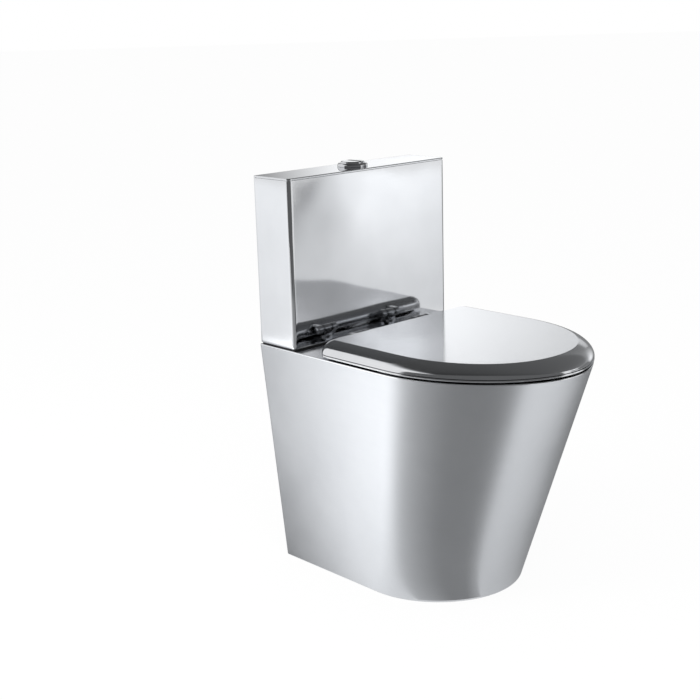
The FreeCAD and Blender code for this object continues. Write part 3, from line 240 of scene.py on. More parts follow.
def matched(outline: Loop, guide: Loop, centre: Point) -> Loop:
    """Take a point of an outline for each point of a guide, in the same direction from a centre.

    Args:
        outline: Closed outline round the centre.
        guide: Outline whose points set the directions.
        centre: Point inside both.

    Returns:
        An outline with as many points as the guide.
    """
    middle = Vector(centre)
    sides = [(Vector(a) - middle, Vector(b) - middle) for a, b in around(outline)]
    points = []
    for spot in guide:
        way = Vector(spot) - middle
        best = 0.0
        for a, b in sides:
            edge = b - a
            cross = way.x * edge.y - way.y * edge.x
            if abs(cross) < PARALLEL:
                continue
            reach = (a.x * edge.y - a.y * edge.x) / cross
            share = (a.x * way.y - a.y * way.x) / cross
            if -HAIR <= share <= 1 + HAIR:
                best = max(best, reach)
        points.append((centre[0] + way.x * best, centre[1] + way.y * best))
    return points


def divided(start: Point, end: Point, parts: int) -> Loop:
    """Points that divide a line into equal parts, with its end and without its start."""
    return [(between(start[0], end[0], part, parts), between(start[1], end[1], part, parts))
            for part in range(1, parts + 1)]


@dataclass(frozen=True)
class DPlan:
    """D-shaped plan: rounded rear corners, straight sides and a round front."""

    half_width: float
    rear: float
    straight: float
    front: float
    fullness: float
    corner: float
    rear_land: float = 40.0
    ease: float = 3.0
    splits: int = 1
    corner_steps: int = 6
    front_steps: int = 30

    def inset(self, side: float, front: float | None = None, rear: float | None = None,
              fullness: float | None = None) -> "DPlan":
        """Draw the plan in.

        Args:
            side: Amount at the sides, and elsewhere unless given.
            front: Amount at the front.
            rear: Amount at the rear.
            fullness: New fullness of the front curve.

        Returns:
            The smaller plan.
        """
        front = side if front is None else front
        rear = side if rear is None else rear
        return replace(self, half_width=self.half_width - side, rear=self.rear + rear,
                       front=self.front - front, rear_land=self.rear_land - side,
                       corner=max(self.corner - side, self.corner / 4),
                       fullness=self.fullness if fullness is None else fullness)

    def loop(self) -> Loop:
        """Outline from the middle of the rear, round by the +X side.

        Returns:
            The outline.
        """
        w, c = self.half_width, self.corner
        reach = (self.front - self.straight) * self.fullness
        middle, land = (0.0, self.rear), (w - max(self.rear_land, c + 2 * self.ease), self.rear)
        bend = (w - c - self.ease, self.rear)
        half = divided(middle, land, self.splits) + divided(land, bend, self.splits)
        half += arc((w - c, self.rear + c), c, -90, 0, self.corner_steps) + [(w, self.rear + c + self.ease)]
        half += divided(half[-1], (w, self.straight - self.ease), self.splits) + [(w, self.straight)]
        half += bezier((w, self.straight), (w, self.straight + reach), (w * self.fullness, self.front),
                       (0, self.front), self.front_steps)
        return [(0, self.rear)] + half + mirrored(half[:-1])


@dataclass(frozen=True)
class EggPlan:
    """Egg-shaped plan, widest part way between its rear and its front."""

    half_width: float
    rear: float
    widest: float
    front: float

    def grown(self, by: float) -> "EggPlan":
        """Plan let out all round."""
        return EggPlan(self.half_width + by, self.rear - by, self.widest, self.front + by)

    def loop(self, steps: int = 24) -> Loop:
        """Outline from the middle of the rear, round by the +X side.

        Args:
            steps: Chords in each quarter.

        Returns:
            The outline.
        """
        w, side = self.half_width, (self.half_width, self.widest)
        half = [(0.0, self.rear)]
        half += bezier((0, self.rear), (w * CIRCLE_HANDLE, self.rear),
                       (w, self.widest + CIRCLE_HANDLE * (self.rear - self.widest)), side, steps)
        half += bezier(side, (w, self.widest + CIRCLE_HANDLE * (self.front - self.widest)),
                       (w * CIRCLE_HANDLE, self.front), (0, self.front), steps)
        return half + mirrored(half[1:-1])


def rounded_box(half: float, near: float, far: float, near_round: float, far_round: float,
                ease: float = 3.0) -> Loop:
    """Rectangle centred on x = 0 with rounded corners.

    Args:
        half: Half of its width.
        near: Side next to the wall.
        far: Side away from the wall.
        near_round: Radius of the two corners next to the wall.
        far_round: Radius of the other two.
        ease: Distance from a bend to the support point beside it.

    Returns:
        Outline from the middle of the near side.
    """
    right = [(half - near_round - ease, near)]
    right += arc((half - near_round, near + near_round), near_round, -90, 0, steps=6)
    right += [(half, near + near_round + ease), (half, far - far_round - ease)]
    right += arc((half - far_round, far - far_round), far_round, 0, 90, steps=10)
    right += [(half - far_round - ease, far)]
    return [(0, near)] + right + [(0, far)] + mirrored(right)


def rounding(edge: Edge) -> Point:
    """How far an edge is drawn in, and over what rise."""
    return edge if isinstance(edge, tuple) else (edge, edge)


def edge_rows(low: float, high: float, low_round: Point, high_round: Point, ease: float) -> Loop:
    """Rows up a wall whose two edges are rounded.

    Args:
        low: Lower end.
        high: Upper end.
        low_round: How far the lower edge is drawn in, and over what rise.
        high_round: The same for the upper edge.
        ease: Distance from a rounded edge to the support row on the flat end.

    Returns:
        (place along the axis, amount drawn in) for each row.
    """
    steps = 4
    rows = [(low, 0.0)]
    if low_round[0]:
        rows = [(low, low_round[0] + ease)]
        rows += [(low + low_round[1] * (1 - c), low_round[0] * (1 - s)) for c, s in quarter(steps)]
    if not high_round[0]:
        return rows + [(high, 0.0)]
    rows += [(high - high_round[1] * (1 - s), high_round[0] * (1 - c)) for c, s in quarter(steps)]
    return rows + [(high, high_round[0] + ease)]


# Meshes

def linked(name: str, data: bpy.types.ID) -> Piece:
    """Object with the given data, linked to the scene.

    Args:
        name: Name of the object.
        data: Its mesh, camera or light.

    Returns:
        The object.
    """
    obj = bpy.data.objects.new(name, data)
    bpy.context.scene.collection.objects.link(obj)
    return obj


class Form:
    """Mesh under construction."""

    def __init__(self) -> None:
        """Start empty."""
        self.bm = bmesh.new()

    def ring(self, loop: Iterable[Point], along: float, axis: Axis = Axis.UP) -> Ring:
        """Points of an outline at one place on an axis."""
        return [self.bm.verts.new(axis.spot(point, along)) for point in loop]

    def band(self, low: Ring, high: Ring, skip: Sequence[int] = ()) -> None:
        """Faces between two rings, leaving out those that start at the given points.

        Args:
            low: One ring.
            high: The other ring.
            skip: Points whose faces are left out.
        """
        count = len(low)
        for index in range(count):
            if index not in skip:
                after = (index + 1) % count
                self.bm.faces.new((low[index], low[after], high[after], high[index]))

    def bands(self, rings: Sequence[Ring], closed: bool = False) -> None:
        """Faces through a row of rings, and back to the first one if closed.

        Args:
            rings: Rings in order.
            closed: Whether the last is joined to the first.
        """
        for low, high in pairwise(rings):
            self.band(low, high)
        if closed:
            self.band(rings[-1], rings[0])

    def cap(self, *rings: Ring) -> None:
        """Flat face on the first ring with the other rings as holes.

        Args:
            rings: Edge of the face, then the edges of its holes.
        """
        if len(rings) == 1:
            self.bm.faces.new(rings[0])
            return
        edges = []
        for ring in rings:
            for a, b in around(ring):
                edges.append(self.bm.edges.get((a, b)) or self.bm.edges.new((a, b)))
        bmesh.ops.triangle_fill(self.bm, use_beauty=True, edges=edges)

    def prism(self, loop: Loop, low: float, high: float, axis: Axis = Axis.UP, holes: Sequence[Loop] = (),
              low_round: Edge = 0.0, high_round: Edge = 0.0, ease: float = 0.6) -> None:
        """Closed solid drawn out from an outline.

        Args:
            loop: Outer outline.
            low: One end on the axis.
            high: The other end.
            axis: Direction that it is drawn out along.
            holes: Outlines of its through holes.
            low_round: Rounding of the edges at the low end, as drawn in and rise, or one number for both.
            high_round: Rounding of the edges at the high end.
            ease: Width of the support strip on each flat end.
        """
        low_rings, high_rings = [], []
        rows = edge_rows(low, high, rounding(low_round), rounding(high_round), ease)
        for outline, sense in [(loop, -1)] + [(hole, 1) for hole in holes]:
            rings = [self.ring(offset(outline, sense * drawn), along, axis) for along, drawn in rows]
            self.bands(rings)
            low_rings.append(rings[0])
            high_rings.append(rings[-1])
        self.cap(*low_rings)
        self.cap(*high_rings)

    def turn(self, profile: Sequence[Point], centre: Point, axis: Axis = Axis.UP, steps: int = 48) -> None:
        """Closed turned solid.

        Args:
            profile: (radius, place along the axis) points round the half section.
            centre: Where the axis stands.
            axis: Direction of the axis.
            steps: Number of sides.
        """
        rings = []
        for radius, along in profile:
            if radius:
                rings.append(self.ring(circle(centre, radius, steps), along, axis))
            else:
                rings.append([self.bm.verts.new(axis.spot(centre, along))])
        for low, high in around(rings):
            if len(low) == len(high) and len(low) > 1:
                self.band(low, high)
            elif len(low) != len(high):
                tip, rim = (low, high) if len(low) == 1 else (high, low)
                for a, b in around(rim):
                    self.bm.faces.new((a, b, tip[0]))

    def crease(self, ring: Ring) -> None:
        """Keep the edges of a ring sharp."""
        for a, b in around(ring):
            self.bm.edges.get((a, b)).smooth = False

    def piece(self, name: str, sharp: float = SHARP_ANGLE) -> Piece:
        """Make the object.

        Args:
            name: Name of the piece.
            sharp: Angle in degrees past which an edge is kept sharp.

        Returns:
            The linked object, at the origin.
        """
        bmesh.ops.remove_doubles(self.bm, verts=self.bm.verts, dist=WELD)
        bmesh.ops.recalc_face_normals(self.bm, faces=self.bm.faces)
        mesh = bpy.data.meshes.new(name)
        self.bm.to_mesh(mesh)
        self.bm.free()
        obj = linked(name, mesh)
        smooth(obj, sharp)
        return obj


def smooth(obj: Piece, sharp: float) -> None:
    """Shade a piece smooth, and mark its edges past an angle as sharp.

    Args:
        obj: The piece.
        sharp: Angle in degrees past which an edge is kept sharp.
    """
    bm = bmesh.new()
    bm.from_mesh(obj.data)
    for face in bm.faces:
        face.smooth = True
    for edge in bm.edges:
        if edge.calc_face_angle(0) > math.radians(sharp):
            edge.smooth = False
    bm.to_mesh(obj.data)
    bm.free()


def settle(obj: Piece, sharp: float = SHARP_ANGLE) -> None:
    """Turn a piece's modifiers into plain mesh and shade it.

    Args:
        obj: The piece.
        sharp: Angle in degrees past which an edge is kept sharp.
    """
    evaluated = obj.evaluated_get(bpy.context.evaluated_depsgraph_get())
    mesh = bpy.data.meshes.new_from_object(evaluated)
    obj.modifiers.clear()
    obj.data = mesh
    smooth(obj, sharp)


def thicken(obj: Piece, sheet: float, edge: float = 0.25) -> None:
    """Give a folded sheet its thickness, inwards, and break its cut edges.

    Args:
        obj: The sheet's outer face.
        sheet: Its thickness.
        edge: Width of the broken edges.
    """
    wall = obj.modifiers.new("sheet", "SOLIDIFY")
    wall.thickness = sheet * MM
    wall.offset = -1
    wall.use_even_offset = True
    cut = obj.modifiers.new("broken_edge", "BEVEL")
    cut.width = edge * MM
    cut.segments = 1
    cut.limit_method = "ANGLE"
    cut.angle_limit = math.radians(BROKEN_ANGLE)
    settle(obj)


def carve(obj: Piece, tool: Piece) -> None:
    """Take a tool's shape away from a piece, and delete the tool.

    Args:
        obj: The piece.
        tool: Shape that is taken away.
    """
    cut = obj.modifiers.new("carve", "BOOLEAN")
    cut.operation = "DIFFERENCE"
    cut.solver = "EXACT"
    cut.object = tool
    settle(obj)
    bpy.data.objects.remove(tool)


# Finishes

class Nodes:
    """Node tree under construction."""

    def __init__(self, tree: bpy.types.NodeTree) -> None:
        """Take over a tree."""
        self.tree = tree

    def add(self, kind: str, **values: object) -> bpy.types.Node:
        """Add a node and feed its sockets by name, with underscores for spaces.

        Args:
            kind: Type of the node.
            values: Value of each named socket, or the socket that gives it.

        Returns:
            The node.
        """
        node = self.tree.nodes.new(kind)
        for name, value in values.items():
            self.feed(value, node.inputs[name.replace("_", " ")])
        return node

    def feed(self, value: object, target: Socket) -> None:
        """Set a socket, or link it to the socket that gives its value.

        Args:
            value: The value or the giving socket.
            target: The socket that takes it.
        """
        if isinstance(value, Socket):
            self.tree.links.new(value, target)
        else:
            target.default_value = value

    def work_out(self, operation: str, *terms: Socket | float) -> Socket:
        """Work out a number from sockets and plain numbers.

        Args:
            operation: What is done with the terms.
            terms: The terms in order.

        Returns:
            The result's socket.
        """
        node = self.add("ShaderNodeMath")
        node.operation = operation
        for term, target in zip(terms, node.inputs):
            self.feed(term, target)
        return node.outputs[0]

    def seen_directly(self) -> Socket:
        """1 for rays from the camera, a mirror or a clear piece, else 0.

        Returns:
            The number's socket.
        """
        rays = self.add("ShaderNodeLightPath")
        seen = rays.outputs["Is Camera Ray"]
        for kind in ("Is Glossy Ray", "Is Transmission Ray"):
            seen = self.work_out("MAXIMUM", seen, rays.outputs[kind])
        return seen


class ShaderTree(Nodes):
    """Node tree of one material."""

    noise_range: Point = (0.3, 0.7)

    def __init__(self, name: str) -> None:
        """Start a material without nodes.

        Args:
            name: Name of the material.
        """
        self.material = bpy.data.materials.new(name)
        self.material.use_nodes = True
        super().__init__(self.material.node_tree)
        self.tree.nodes.clear()

    def close(self, shader: bpy.types.Node) -> bpy.types.Material:
        """Join the last shader to an output."""
        self.add("ShaderNodeOutputMaterial", Surface=shader.outputs[0])
        return self.material

    def noise(self, scale: Sequence[float], detail: float, rough: float = 0.55) -> Socket:
        """Noise on Object coordinates.

        Args:
            scale: Features per metre along X, Y and Z.
            detail: Octaves.
            rough: Share that each octave keeps.

        Returns:
            The noise's value socket.
        """
        spot = self.add("ShaderNodeTexCoord")
        sizes = self.add("ShaderNodeMapping", Vector=spot.outputs["Object"], Scale=tuple(scale))
        grain = self.add("ShaderNodeTexNoise", Vector=sizes.outputs["Vector"], Scale=1.0, Detail=detail,
                         Roughness=rough)
        return grain.outputs["Fac"]

    def spread(self, value: Socket, low: float, high: float, span: Point = noise_range) -> Socket:
        """Noise spread between two numbers.

        Args:
            value: The noise.
            low: Result where the noise is low.
            high: Result where it is high.
            span: Noise that gives the low and the high result.

        Returns:
            The result's socket.
        """
        start, end = span
        spread = self.add("ShaderNodeMapRange", Value=value, From_Min=start, From_Max=end, To_Min=low,
                          To_Max=high)
        return spread.outputs["Result"]

    def tint(self, value: Socket, low: Colour, high: Colour) -> Socket:
        """Noise spread between two colours.

        Args:
            value: The noise.
            low: Colour where the noise is low.
            high: Colour where it is high.

        Returns:
            The colour's socket.
        """
        ramp = self.add("ShaderNodeValToRGB", Fac=value)
        for stop, position, colour in zip(ramp.color_ramp.elements, self.noise_range, (low, high)):
            stop.position = position
            stop.color = (*colour, 1)
        return ramp.outputs["Color"]

    def bump(self, height: Socket, depth: float, under: Socket | None = None) -> Socket:
        """Bump from a height.

        Args:
            height: Height between 0 and 1.
            depth: Real depth in metres.
            under: Normal that the bump is laid over.

        Returns:
            The normal's socket.
        """
        bump = self.add("ShaderNodeBump", Strength=1.0, Distance=depth, Height=height)
        if under is not None:
            self.feed(under, bump.inputs["Normal"])
        return bump.outputs["Normal"]


@dataclass(frozen=True)
class MetalFinish:
    """Brushed or polished metal: grain lines, soft waves of the sheet, and hazy patches."""

    name: str
    dark: Colour
    light: Colour
    smooth: float
    rough: float
    grain: Spot
    grain_depth: float
    wave: float
    wave_depth: float
    patch: float = 9.0
    stretch: float = 0.0
    haze_range: Point = (0.36, 0.64)
    grain_turn: float = 0.25

    def material(self) -> bpy.types.Material:
        """Build the material.

        Returns:
            The material.
        """
        tree = ShaderTree(f"{self.name}_finish")
        lines = tree.noise(self.grain, detail=3.0, rough=0.6)
        patches = tree.noise((self.patch,) * 3, detail=4.0)
        waves = tree.noise((self.wave,) * 3, detail=1.0, rough=0.4)
        haze = tree.work_out("MULTIPLY_ADD", lines, 0.5, tree.work_out("MULTIPLY", patches, 0.5))
        shader = tree.add("ShaderNodeBsdfPrincipled", Metallic=1.0,
                          Roughness=tree.spread(haze, self.smooth, self.rough, self.haze_range),
                          Base_Color=tree.tint(patches, self.dark, self.light),
                          Normal=tree.bump(lines, self.grain_depth, tree.bump(waves, self.wave_depth)))
        if self.stretch:
            along = tree.add("ShaderNodeTangent")
            along.direction_type = "RADIAL"
            along.axis = "Z"
            tree.feed(self.stretch, shader.inputs["Anisotropic"])
            tree.feed(self.grain_turn, shader.inputs["Anisotropic Rotation"])
            tree.feed(along.outputs["Tangent"], shader.inputs["Tangent"])
        return tree.close(shader)


@dataclass(frozen=True)
class MouldedFinish:
    """Moulded plastic or rubber: fine texture, flow marks and a little dust."""

    name: str
    dark: Colour
    light: Colour
    smooth: float
    rough: float
    texture: float
    texture_depth: float
    specular: float = 0.5
    flow: Spot = (14.0, 14.0, 40.0)

    def material(self) -> bpy.types.Material:
        """Build the material.

        Returns:
            The material.
        """
        tree = ShaderTree(f"{self.name}_finish")
        fine = tree.noise((self.texture,) * 3, detail=2.0)
        flow = tree.noise(self.flow, detail=4.0)
        shader = tree.add("ShaderNodeBsdfPrincipled", Specular_IOR_Level=self.specular,
                          Roughness=tree.spread(flow, self.smooth, self.rough),
                          Base_Color=tree.tint(flow, self.dark, self.light),
                          Normal=tree.bump(fine, self.texture_depth))
        return tree.close(shader)


class Slot(Enum):
    """Finishes of the suite, each named as in the record."""

    PAN = MetalFinish("pan_steel", (0.60, 0.613, 0.635), (0.66, 0.673, 0.695), 0.36, 0.44,
                      (14.0, 14.0, 1500.0), 0.000012, 2.6, 0.0016, stretch=0.7)
    CISTERN = MetalFinish("cistern_steel", (0.66, 0.67, 0.69), (0.71, 0.72, 0.74), 0.05, 0.09,
                          (12.0, 12.0, 1800.0), 0.000004, 6.0, 0.002)
    POLISHED = MetalFinish("polished_steel", (0.70, 0.71, 0.73), (0.75, 0.76, 0.78), 0.10, 0.15,
                           (60.0, 900.0, 900.0), 0.000003, 6.0, 0.0003)
    BOWL = MetalFinish("bowl_steel", (0.55, 0.56, 0.57), (0.61, 0.62, 0.63), 0.24, 0.36,
                       (40.0, 40.0, 1200.0), 0.00002, 9.0, 0.0006)
    FASTENER = MetalFinish("fastener_steel", (0.50, 0.50, 0.51), (0.60, 0.60, 0.61), 0.25, 0.42,
                           (700.0, 700.0, 700.0), 0.00003, 60.0, 0.0001, 80.0)
    CHROME = MetalFinish("button_chrome", (0.60, 0.61, 0.63), (0.65, 0.66, 0.68), 0.03, 0.09,
                         (900.0, 900.0, 900.0), 0.000002, 30.0, 0.00005, 60.0)
    BRASS = MetalFinish("inlet_brass", (0.66, 0.50, 0.22), (0.75, 0.60, 0.30), 0.2, 0.36,
                        (600.0, 600.0, 1500.0), 0.00002, 60.0, 0.0001, 60.0)
    RUBBER = MouldedFinish("black_rubber", (0.018, 0.018, 0.019), (0.035, 0.035, 0.036), 0.55, 0.75,
                           1400.0, 0.00006, 0.3)
    PLASTIC = MouldedFinish("white_plastic", (0.78, 0.79, 0.79), (0.86, 0.87, 0.87), 0.35, 0.5,
                            1600.0, 0.00003)

    def material(self) -> bpy.types.Material:
        """Material of the finish, made once."""
        return bpy.data.materials.get(f"{self.value.name}_finish") or self.value.material()


def hand_in(obj: Piece, body: str, slot: Slot, *nodes: str) -> None:
    """Dress a piece and let it ride.

    Args:
        obj: The piece.
        body: Body that carries it.
        slot: Its finish.
        nodes: Solids that it stands for.
    """
    if not obj.data.materials:
        obj.data.materials.append(slot.material())
    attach(obj, body)
    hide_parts(*nodes)
    LOG.info("%s on %s, %d faces", obj.name, body, len(obj.data.polygons))


# Repeated pieces

class PieceTree(Nodes):
    """Geometry node tree with named inputs, whose result becomes a plain mesh."""

    def __init__(self, name: str, inputs: Sequence[tuple[str, str]]) -> None:
        """Start a tree.

        Args:
            name: Name of the tree.
            inputs: Name and socket type of each input after the geometry.
        """
        super().__init__(bpy.data.node_groups.new(name, "GeometryNodeTree"))
        sockets = self.tree.interface
        sockets.new_socket("Geometry", in_out="INPUT", socket_type="NodeSocketGeometry")
        sockets.new_socket("Geometry", in_out="OUTPUT", socket_type="NodeSocketGeometry")
        self.keys = {}
        for label, kind in inputs:
            self.keys[label] = sockets.new_socket(label, in_out="INPUT", socket_type=kind).identifier
        self.start = self.add("NodeGroupInput")

    def close(self, geometry: Socket) -> None:
        """Realise the result and give it the finish.

        Args:
            geometry: The result's socket.
        """
        real = self.add("GeometryNodeRealizeInstances", Geometry=geometry)
        dress = self.add("GeometryNodeSetMaterial", Geometry=real.outputs["Geometry"],
                         Material=self.start.outputs["Finish"])
        self.add("NodeGroupOutput", Geometry=dress.outputs["Geometry"])

    def run(self, obj: Piece, values: dict[str, object], sharp: float = SHARP_ANGLE) -> None:
        """Run the tree on an object and keep the result as its mesh.

        Args:
            obj: Object whose mesh goes in.
            values: Value of each named input.
            sharp: Angle past which edges stay sharp.
        """
        modifier = obj.modifiers.new("nodes", "NODES")
        modifier.node_group = self.tree
        for label, value in values.items():
            modifier[self.keys[label]] = value
        settle(obj, sharp)


class RepeatTree(PieceTree):
    """Stands a pattern on every point of a mesh, turned by the point's own angle."""

    def __init__(self) -> None:
        """Build the tree."""
        super().__init__("repeat_on_places", (("Pattern", "NodeSocketObject"),
                                              ("Finish", "NodeSocketMaterial")))
        given = self.start.outputs
        pattern = self.add("GeometryNodeObjectInfo", Object=given["Pattern"])
        turn = self.add("GeometryNodeInputNamedAttribute", Name="turn")
        turn.data_type = "FLOAT"
        upright = self.add("ShaderNodeCombineXYZ", Z=turn.outputs["Attribute"])
        stand = self.add("GeometryNodeInstanceOnPoints", Points=given["Geometry"],
                         Instance=pattern.outputs["Geometry"], Rotation=upright.outputs["Vector"])
        self.close(stand.outputs["Instances"])

    def stand(self, name: str, pattern: Form, places: Sequence[Spot], slot: Slot, node: str,
              body: str = "pan", sharp: float = SHARP_ANGLE) -> None:
        """Repeat a pattern that was modelled about x = 0 at the wall, and hand it in as one piece.

        Args:
            name: Name of the piece.
            pattern: The pattern, whose origin goes to each place.
            places: (x, from wall, turn in degrees) of each copy.
            slot: Finish.
            node: Node that the copies stand for.
            body: Body that carries them.
            sharp: Angle past which edges stay sharp.
        """
        model = pattern.piece(name + "_pattern", sharp)
        model.data.transform(Matrix.Translation((0, -WALL * MM, 0)))
        mesh = bpy.data.meshes.new(name)
        mesh.from_pydata([place(x, d, 0) for x, d, _ in places], [], [])
        turns = mesh.attributes.new("turn", "FLOAT", "POINT")
        turns.data.foreach_set("value", [math.radians(angle) for _, _, angle in places])
        obj = linked(name, mesh)
        self.run(obj, {"Pattern": model, "Finish": slot.material()}, sharp)
        bpy.data.objects.remove(model)
        hand_in(obj, body, slot, node)


class SpringTree(PieceTree):
    """Winds a wire into a coil spring."""

    def __init__(self) -> None:
        """Build the tree."""
        super().__init__("coil_spring", (("Turns", "NodeSocketFloat"), ("Radius", "NodeSocketFloat"),
                                         ("Height", "NodeSocketFloat"), ("Wire", "NodeSocketFloat"),
                                         ("Foot", "NodeSocketVector"), ("Finish", "NodeSocketMaterial")))
        given = self.start.outputs
        coil = self.add("GeometryNodeCurveSpiral", Resolution=24, Rotations=given["Turns"],
                        Start_Radius=given["Radius"], End_Radius=given["Radius"], Height=given["Height"])
        wire = self.add("GeometryNodeCurvePrimitiveCircle", Resolution=10, Radius=given["Wire"])
        skin = self.add("GeometryNodeCurveToMesh", Curve=coil.outputs["Curve"],
                        Profile_Curve=wire.outputs["Curve"], Fill_Caps=True)
        stand = self.add("GeometryNodeTransform", Geometry=skin.outputs["Mesh"], Translation=given["Foot"])
        self.close(stand.outputs["Geometry"])


def threaded(radius: float, low: float, high: float, pitch: float = 1.25, depth: float = 0.6) -> Loop:
    """Half section of a threaded bar.

    Args:
        radius: Over the crests.
        low: Lower end.
        high: Upper end.
        pitch: Distance between crests.
        depth: Depth of the thread.

    Returns:
        Profile for turning, from the axis at the low end to the axis at the high end.
    """
    root, flank, crest = radius - depth, 0.1 * pitch, 0.5 * pitch
    profile = [(0.0, low), (root, low)]
    for step in range(int((high - low) / pitch)):
        z = low + step * pitch
        profile += [(root, z + flank), (radius, z + crest)]
    return profile + [(root, high), (0.0, high)]


def bored(radius: float, sides: int, bore: float, ends: Point, low_round: Edge, high_round: Edge,
          ease: float = 0.6) -> Form:
    """Upright washer or nut about the origin.

    Args:
        radius: Radius at its corners.
        sides: Number of its sides.
        bore: Radius of its hole.
        ends: Heights of its two ends.
        low_round: Rounding of the edges at the low end, as drawn in and rise, or one number for both.
        high_round: Rounding of the edges at the high end.
        ease: Width of the support strip on each flat end.

    Returns:
        The mesh under construction.
    """
    form = Form()
    form.prism(circle((0, 0), radius, sides), *ends, holes=[circle((0, 0), bore, Sides.BORE)],
               low_round=low_round, high_round=high_round, ease=ease)
    return form


# Pan

@dataclass
class Pan:
    """Tapered skin, deck, bowl and flush rim."""

    height: float = 400.0
    depth: float = 523.0
    half_width: float = 188.0
    straight: float = 292.5
    fullness: float = 0.50
    base_depth: float = 380.0
    base_half_width: float = 147.5
    base_straight: float = 231.0
    base_fullness: float = 0.53
    sheet: float = 1.5
    deck: float = 2.0
    fold: float = 2.2
    rear_bend: float = 3.0
    floor_flange: float = 22.0
    rear_flange: float = 25.0
    rear_strip: float = 18.0
    support: float = 2.0
    wall_rows: tuple[float, ...] = (110.0, 200.0, 290.0)
    mouth: EggPlan = EggPlan(125.14, 215.0, 345.04, 480.04)
    rim_depth: float = 46.0
    rim_return: float = 10.0
    rim_channel: float = 21.0
    rim_bend: float = 3.0
    rim_nose: float = 0.5
    bowl_depth: float = 208.0
    throat_radius: float = 38.5
    throat_from_wall: float = 290.0
    bowl_profile: tuple[Point, ...] = ((0.0, 1.0), (0.28, 0.97), (0.57, 0.74), (0.83, 0.31), (1.0, 0.0))
    bowl_rows: int = 20
    sump_rows: int = 8
    sump_height: float = 48.0
    duct_half_width: float = 45.5
    duct_window: Point = (354.5, 395.0)
    duct_reach: Point = (150.0, 260.0)
    hinge_holes: Point = (77.5, 128.0)
    bolt_holes: Point = (100.0, 43.75)
    hole_radius: float = 4.5
    valve_hole: float = 36.0
    inlet_hole: float = 20.0
    inlet_x: float = 145.0

    @property
    def deck_under(self) -> float:
        """Height of the deck's underside."""
        return self.height - self.deck

    def plan(self, z: float) -> DPlan:
        """Plan of the skin at a height.

        Args:
            z: The height.

        Returns:
            The plan.
        """
        share = z / self.height
        spans = ((self.base_half_width, self.half_width), (self.base_straight, self.straight),
                 (self.base_depth, self.depth), (self.base_fullness, self.fullness))
        half_width, straight, front, fullness = (between(base, top, share) for base, top in spans)
        return DPlan(half_width, 0.0, straight, front, fullness, self.rear_bend, self.rear_flange)

    def skin(self) -> Piece:
        """Folded skin with its floor flange and its opening towards the wall.

        Returns:
            The piece.
        """
        form = Form()
        rings = [form.ring(self.plan(0).inset(drawn).loop(), 0)
                 for drawn in (self.floor_flange, self.fold + self.support)]
        for c, s in quarter(4):
            z = self.fold * (1 - c)
            rings.append(form.ring(self.plan(z).inset(self.fold * (1 - s)).loop(), z))
        folded = len(rings)
        low, high = self.floor_flange, self.deck_under - self.rear_strip
        heights = [self.fold + 2 * self.support, low, *self.wall_rows, high, self.deck_under]
        rings += [form.ring(self.plan(z).loop(), z) for z in heights]
        last = len(rings[0]) - 1
        for index, (under, over) in enumerate(pairwise(rings)):
            is_open = index >= folded and low <= heights[index - folded] < high
            form.band(under, over, (0, last) if is_open else ())
        obj = form.piece("pan_skin")
        thicken(obj, self.sheet)
        return obj

    def deck_plate(self) -> Piece:
        """Plate on top with the mouth and the fixing holes.

        Returns:
            The piece.
        """
        holes = [self.mouth.loop(), circle((0, self.bolt_holes[1]), self.valve_hole, Sides.VALVE),
                 circle((self.inlet_x, self.bolt_holes[1]), self.inlet_hole)]
        for x, d in (self.hinge_holes, self.bolt_holes):
            holes += [circle((side * x, d), self.hole_radius, Sides.SCREW) for side in SIDES]
        form = Form()
        form.prism(self.plan(self.deck_under).loop(), self.deck_under, self.height, holes=holes,
                   low_round=0.15, high_round=0.9, ease=0.4)
        return form.piece("deck_plate")

    def bowl_plan(self, depth_share: float, wall: float) -> EggPlan:
        """Plan of the bowl part of the way down, let out by a wall.

        Args:
            depth_share: Depth under the deck, as a share of the bowl's depth.
            wall: Amount let out.

        Returns:
            The plan.
        """
        out = smooth_step_curve(self.bowl_profile, depth_share)
        rim, middle, radius = self.mouth.grown(self.rim_channel), self.throat_from_wall, self.throat_radius
        spans = ((radius, rim.half_width), (middle - radius, rim.rear), (middle, rim.widest),
                 (middle + radius, rim.front))
        return EggPlan(*(between(throat, top, out) for throat, top in spans)).grown(wall)

    def bowl_wall(self, name: str, start: float, end: float, rows: int) -> Piece:
        """Stretch of the bowl's wall.

        Args:
            name: Name of the piece.
            start: Depth of the stretch's top under the deck, as a share of the bowl's depth.
            end: Depth of its foot.
            rows: Rows of faces from the top to the foot.

        Returns:
            The stretch, with its inner and outer face.
        """
        form = Form()
        rings = []
        shares = [between(start, end, row, rows) for row in range(rows + 1)]
        for wall, order in ((0.0, shares), (self.sheet, shares[::-1])):
            for share in order:
                z = self.deck_under - share * self.bowl_depth
                rings.append(form.ring(self.bowl_plan(share, wall).loop(), z))
        form.bands(rings, closed=True)
        return form.piece(name)

    @property
    def sump_share(self) -> float:
        """Depth of the sump's top as a share of the bowl's depth."""
        return 1 - self.sump_height / self.bowl_depth

    def sump(self) -> Piece:
        """Spun funnel between the bowl and the trap."""
        return self.bowl_wall("bowl_sump_funnel", self.sump_share, 1.0, self.sump_rows)

    def bowl(self) -> Piece:
        """Pressed bowl with the window of the flush duct.

        Returns:
            The piece.
        """
        obj = self.bowl_wall("bowl_pressing", 0.0, self.sump_share, self.bowl_rows)
        tool = Form()
        half, (near, far) = self.duct_half_width, self.duct_reach
        tool.prism(box((-half, near), (half, far)), *self.duct_window)
        carve(obj, tool.piece("duct_window"))
        return obj

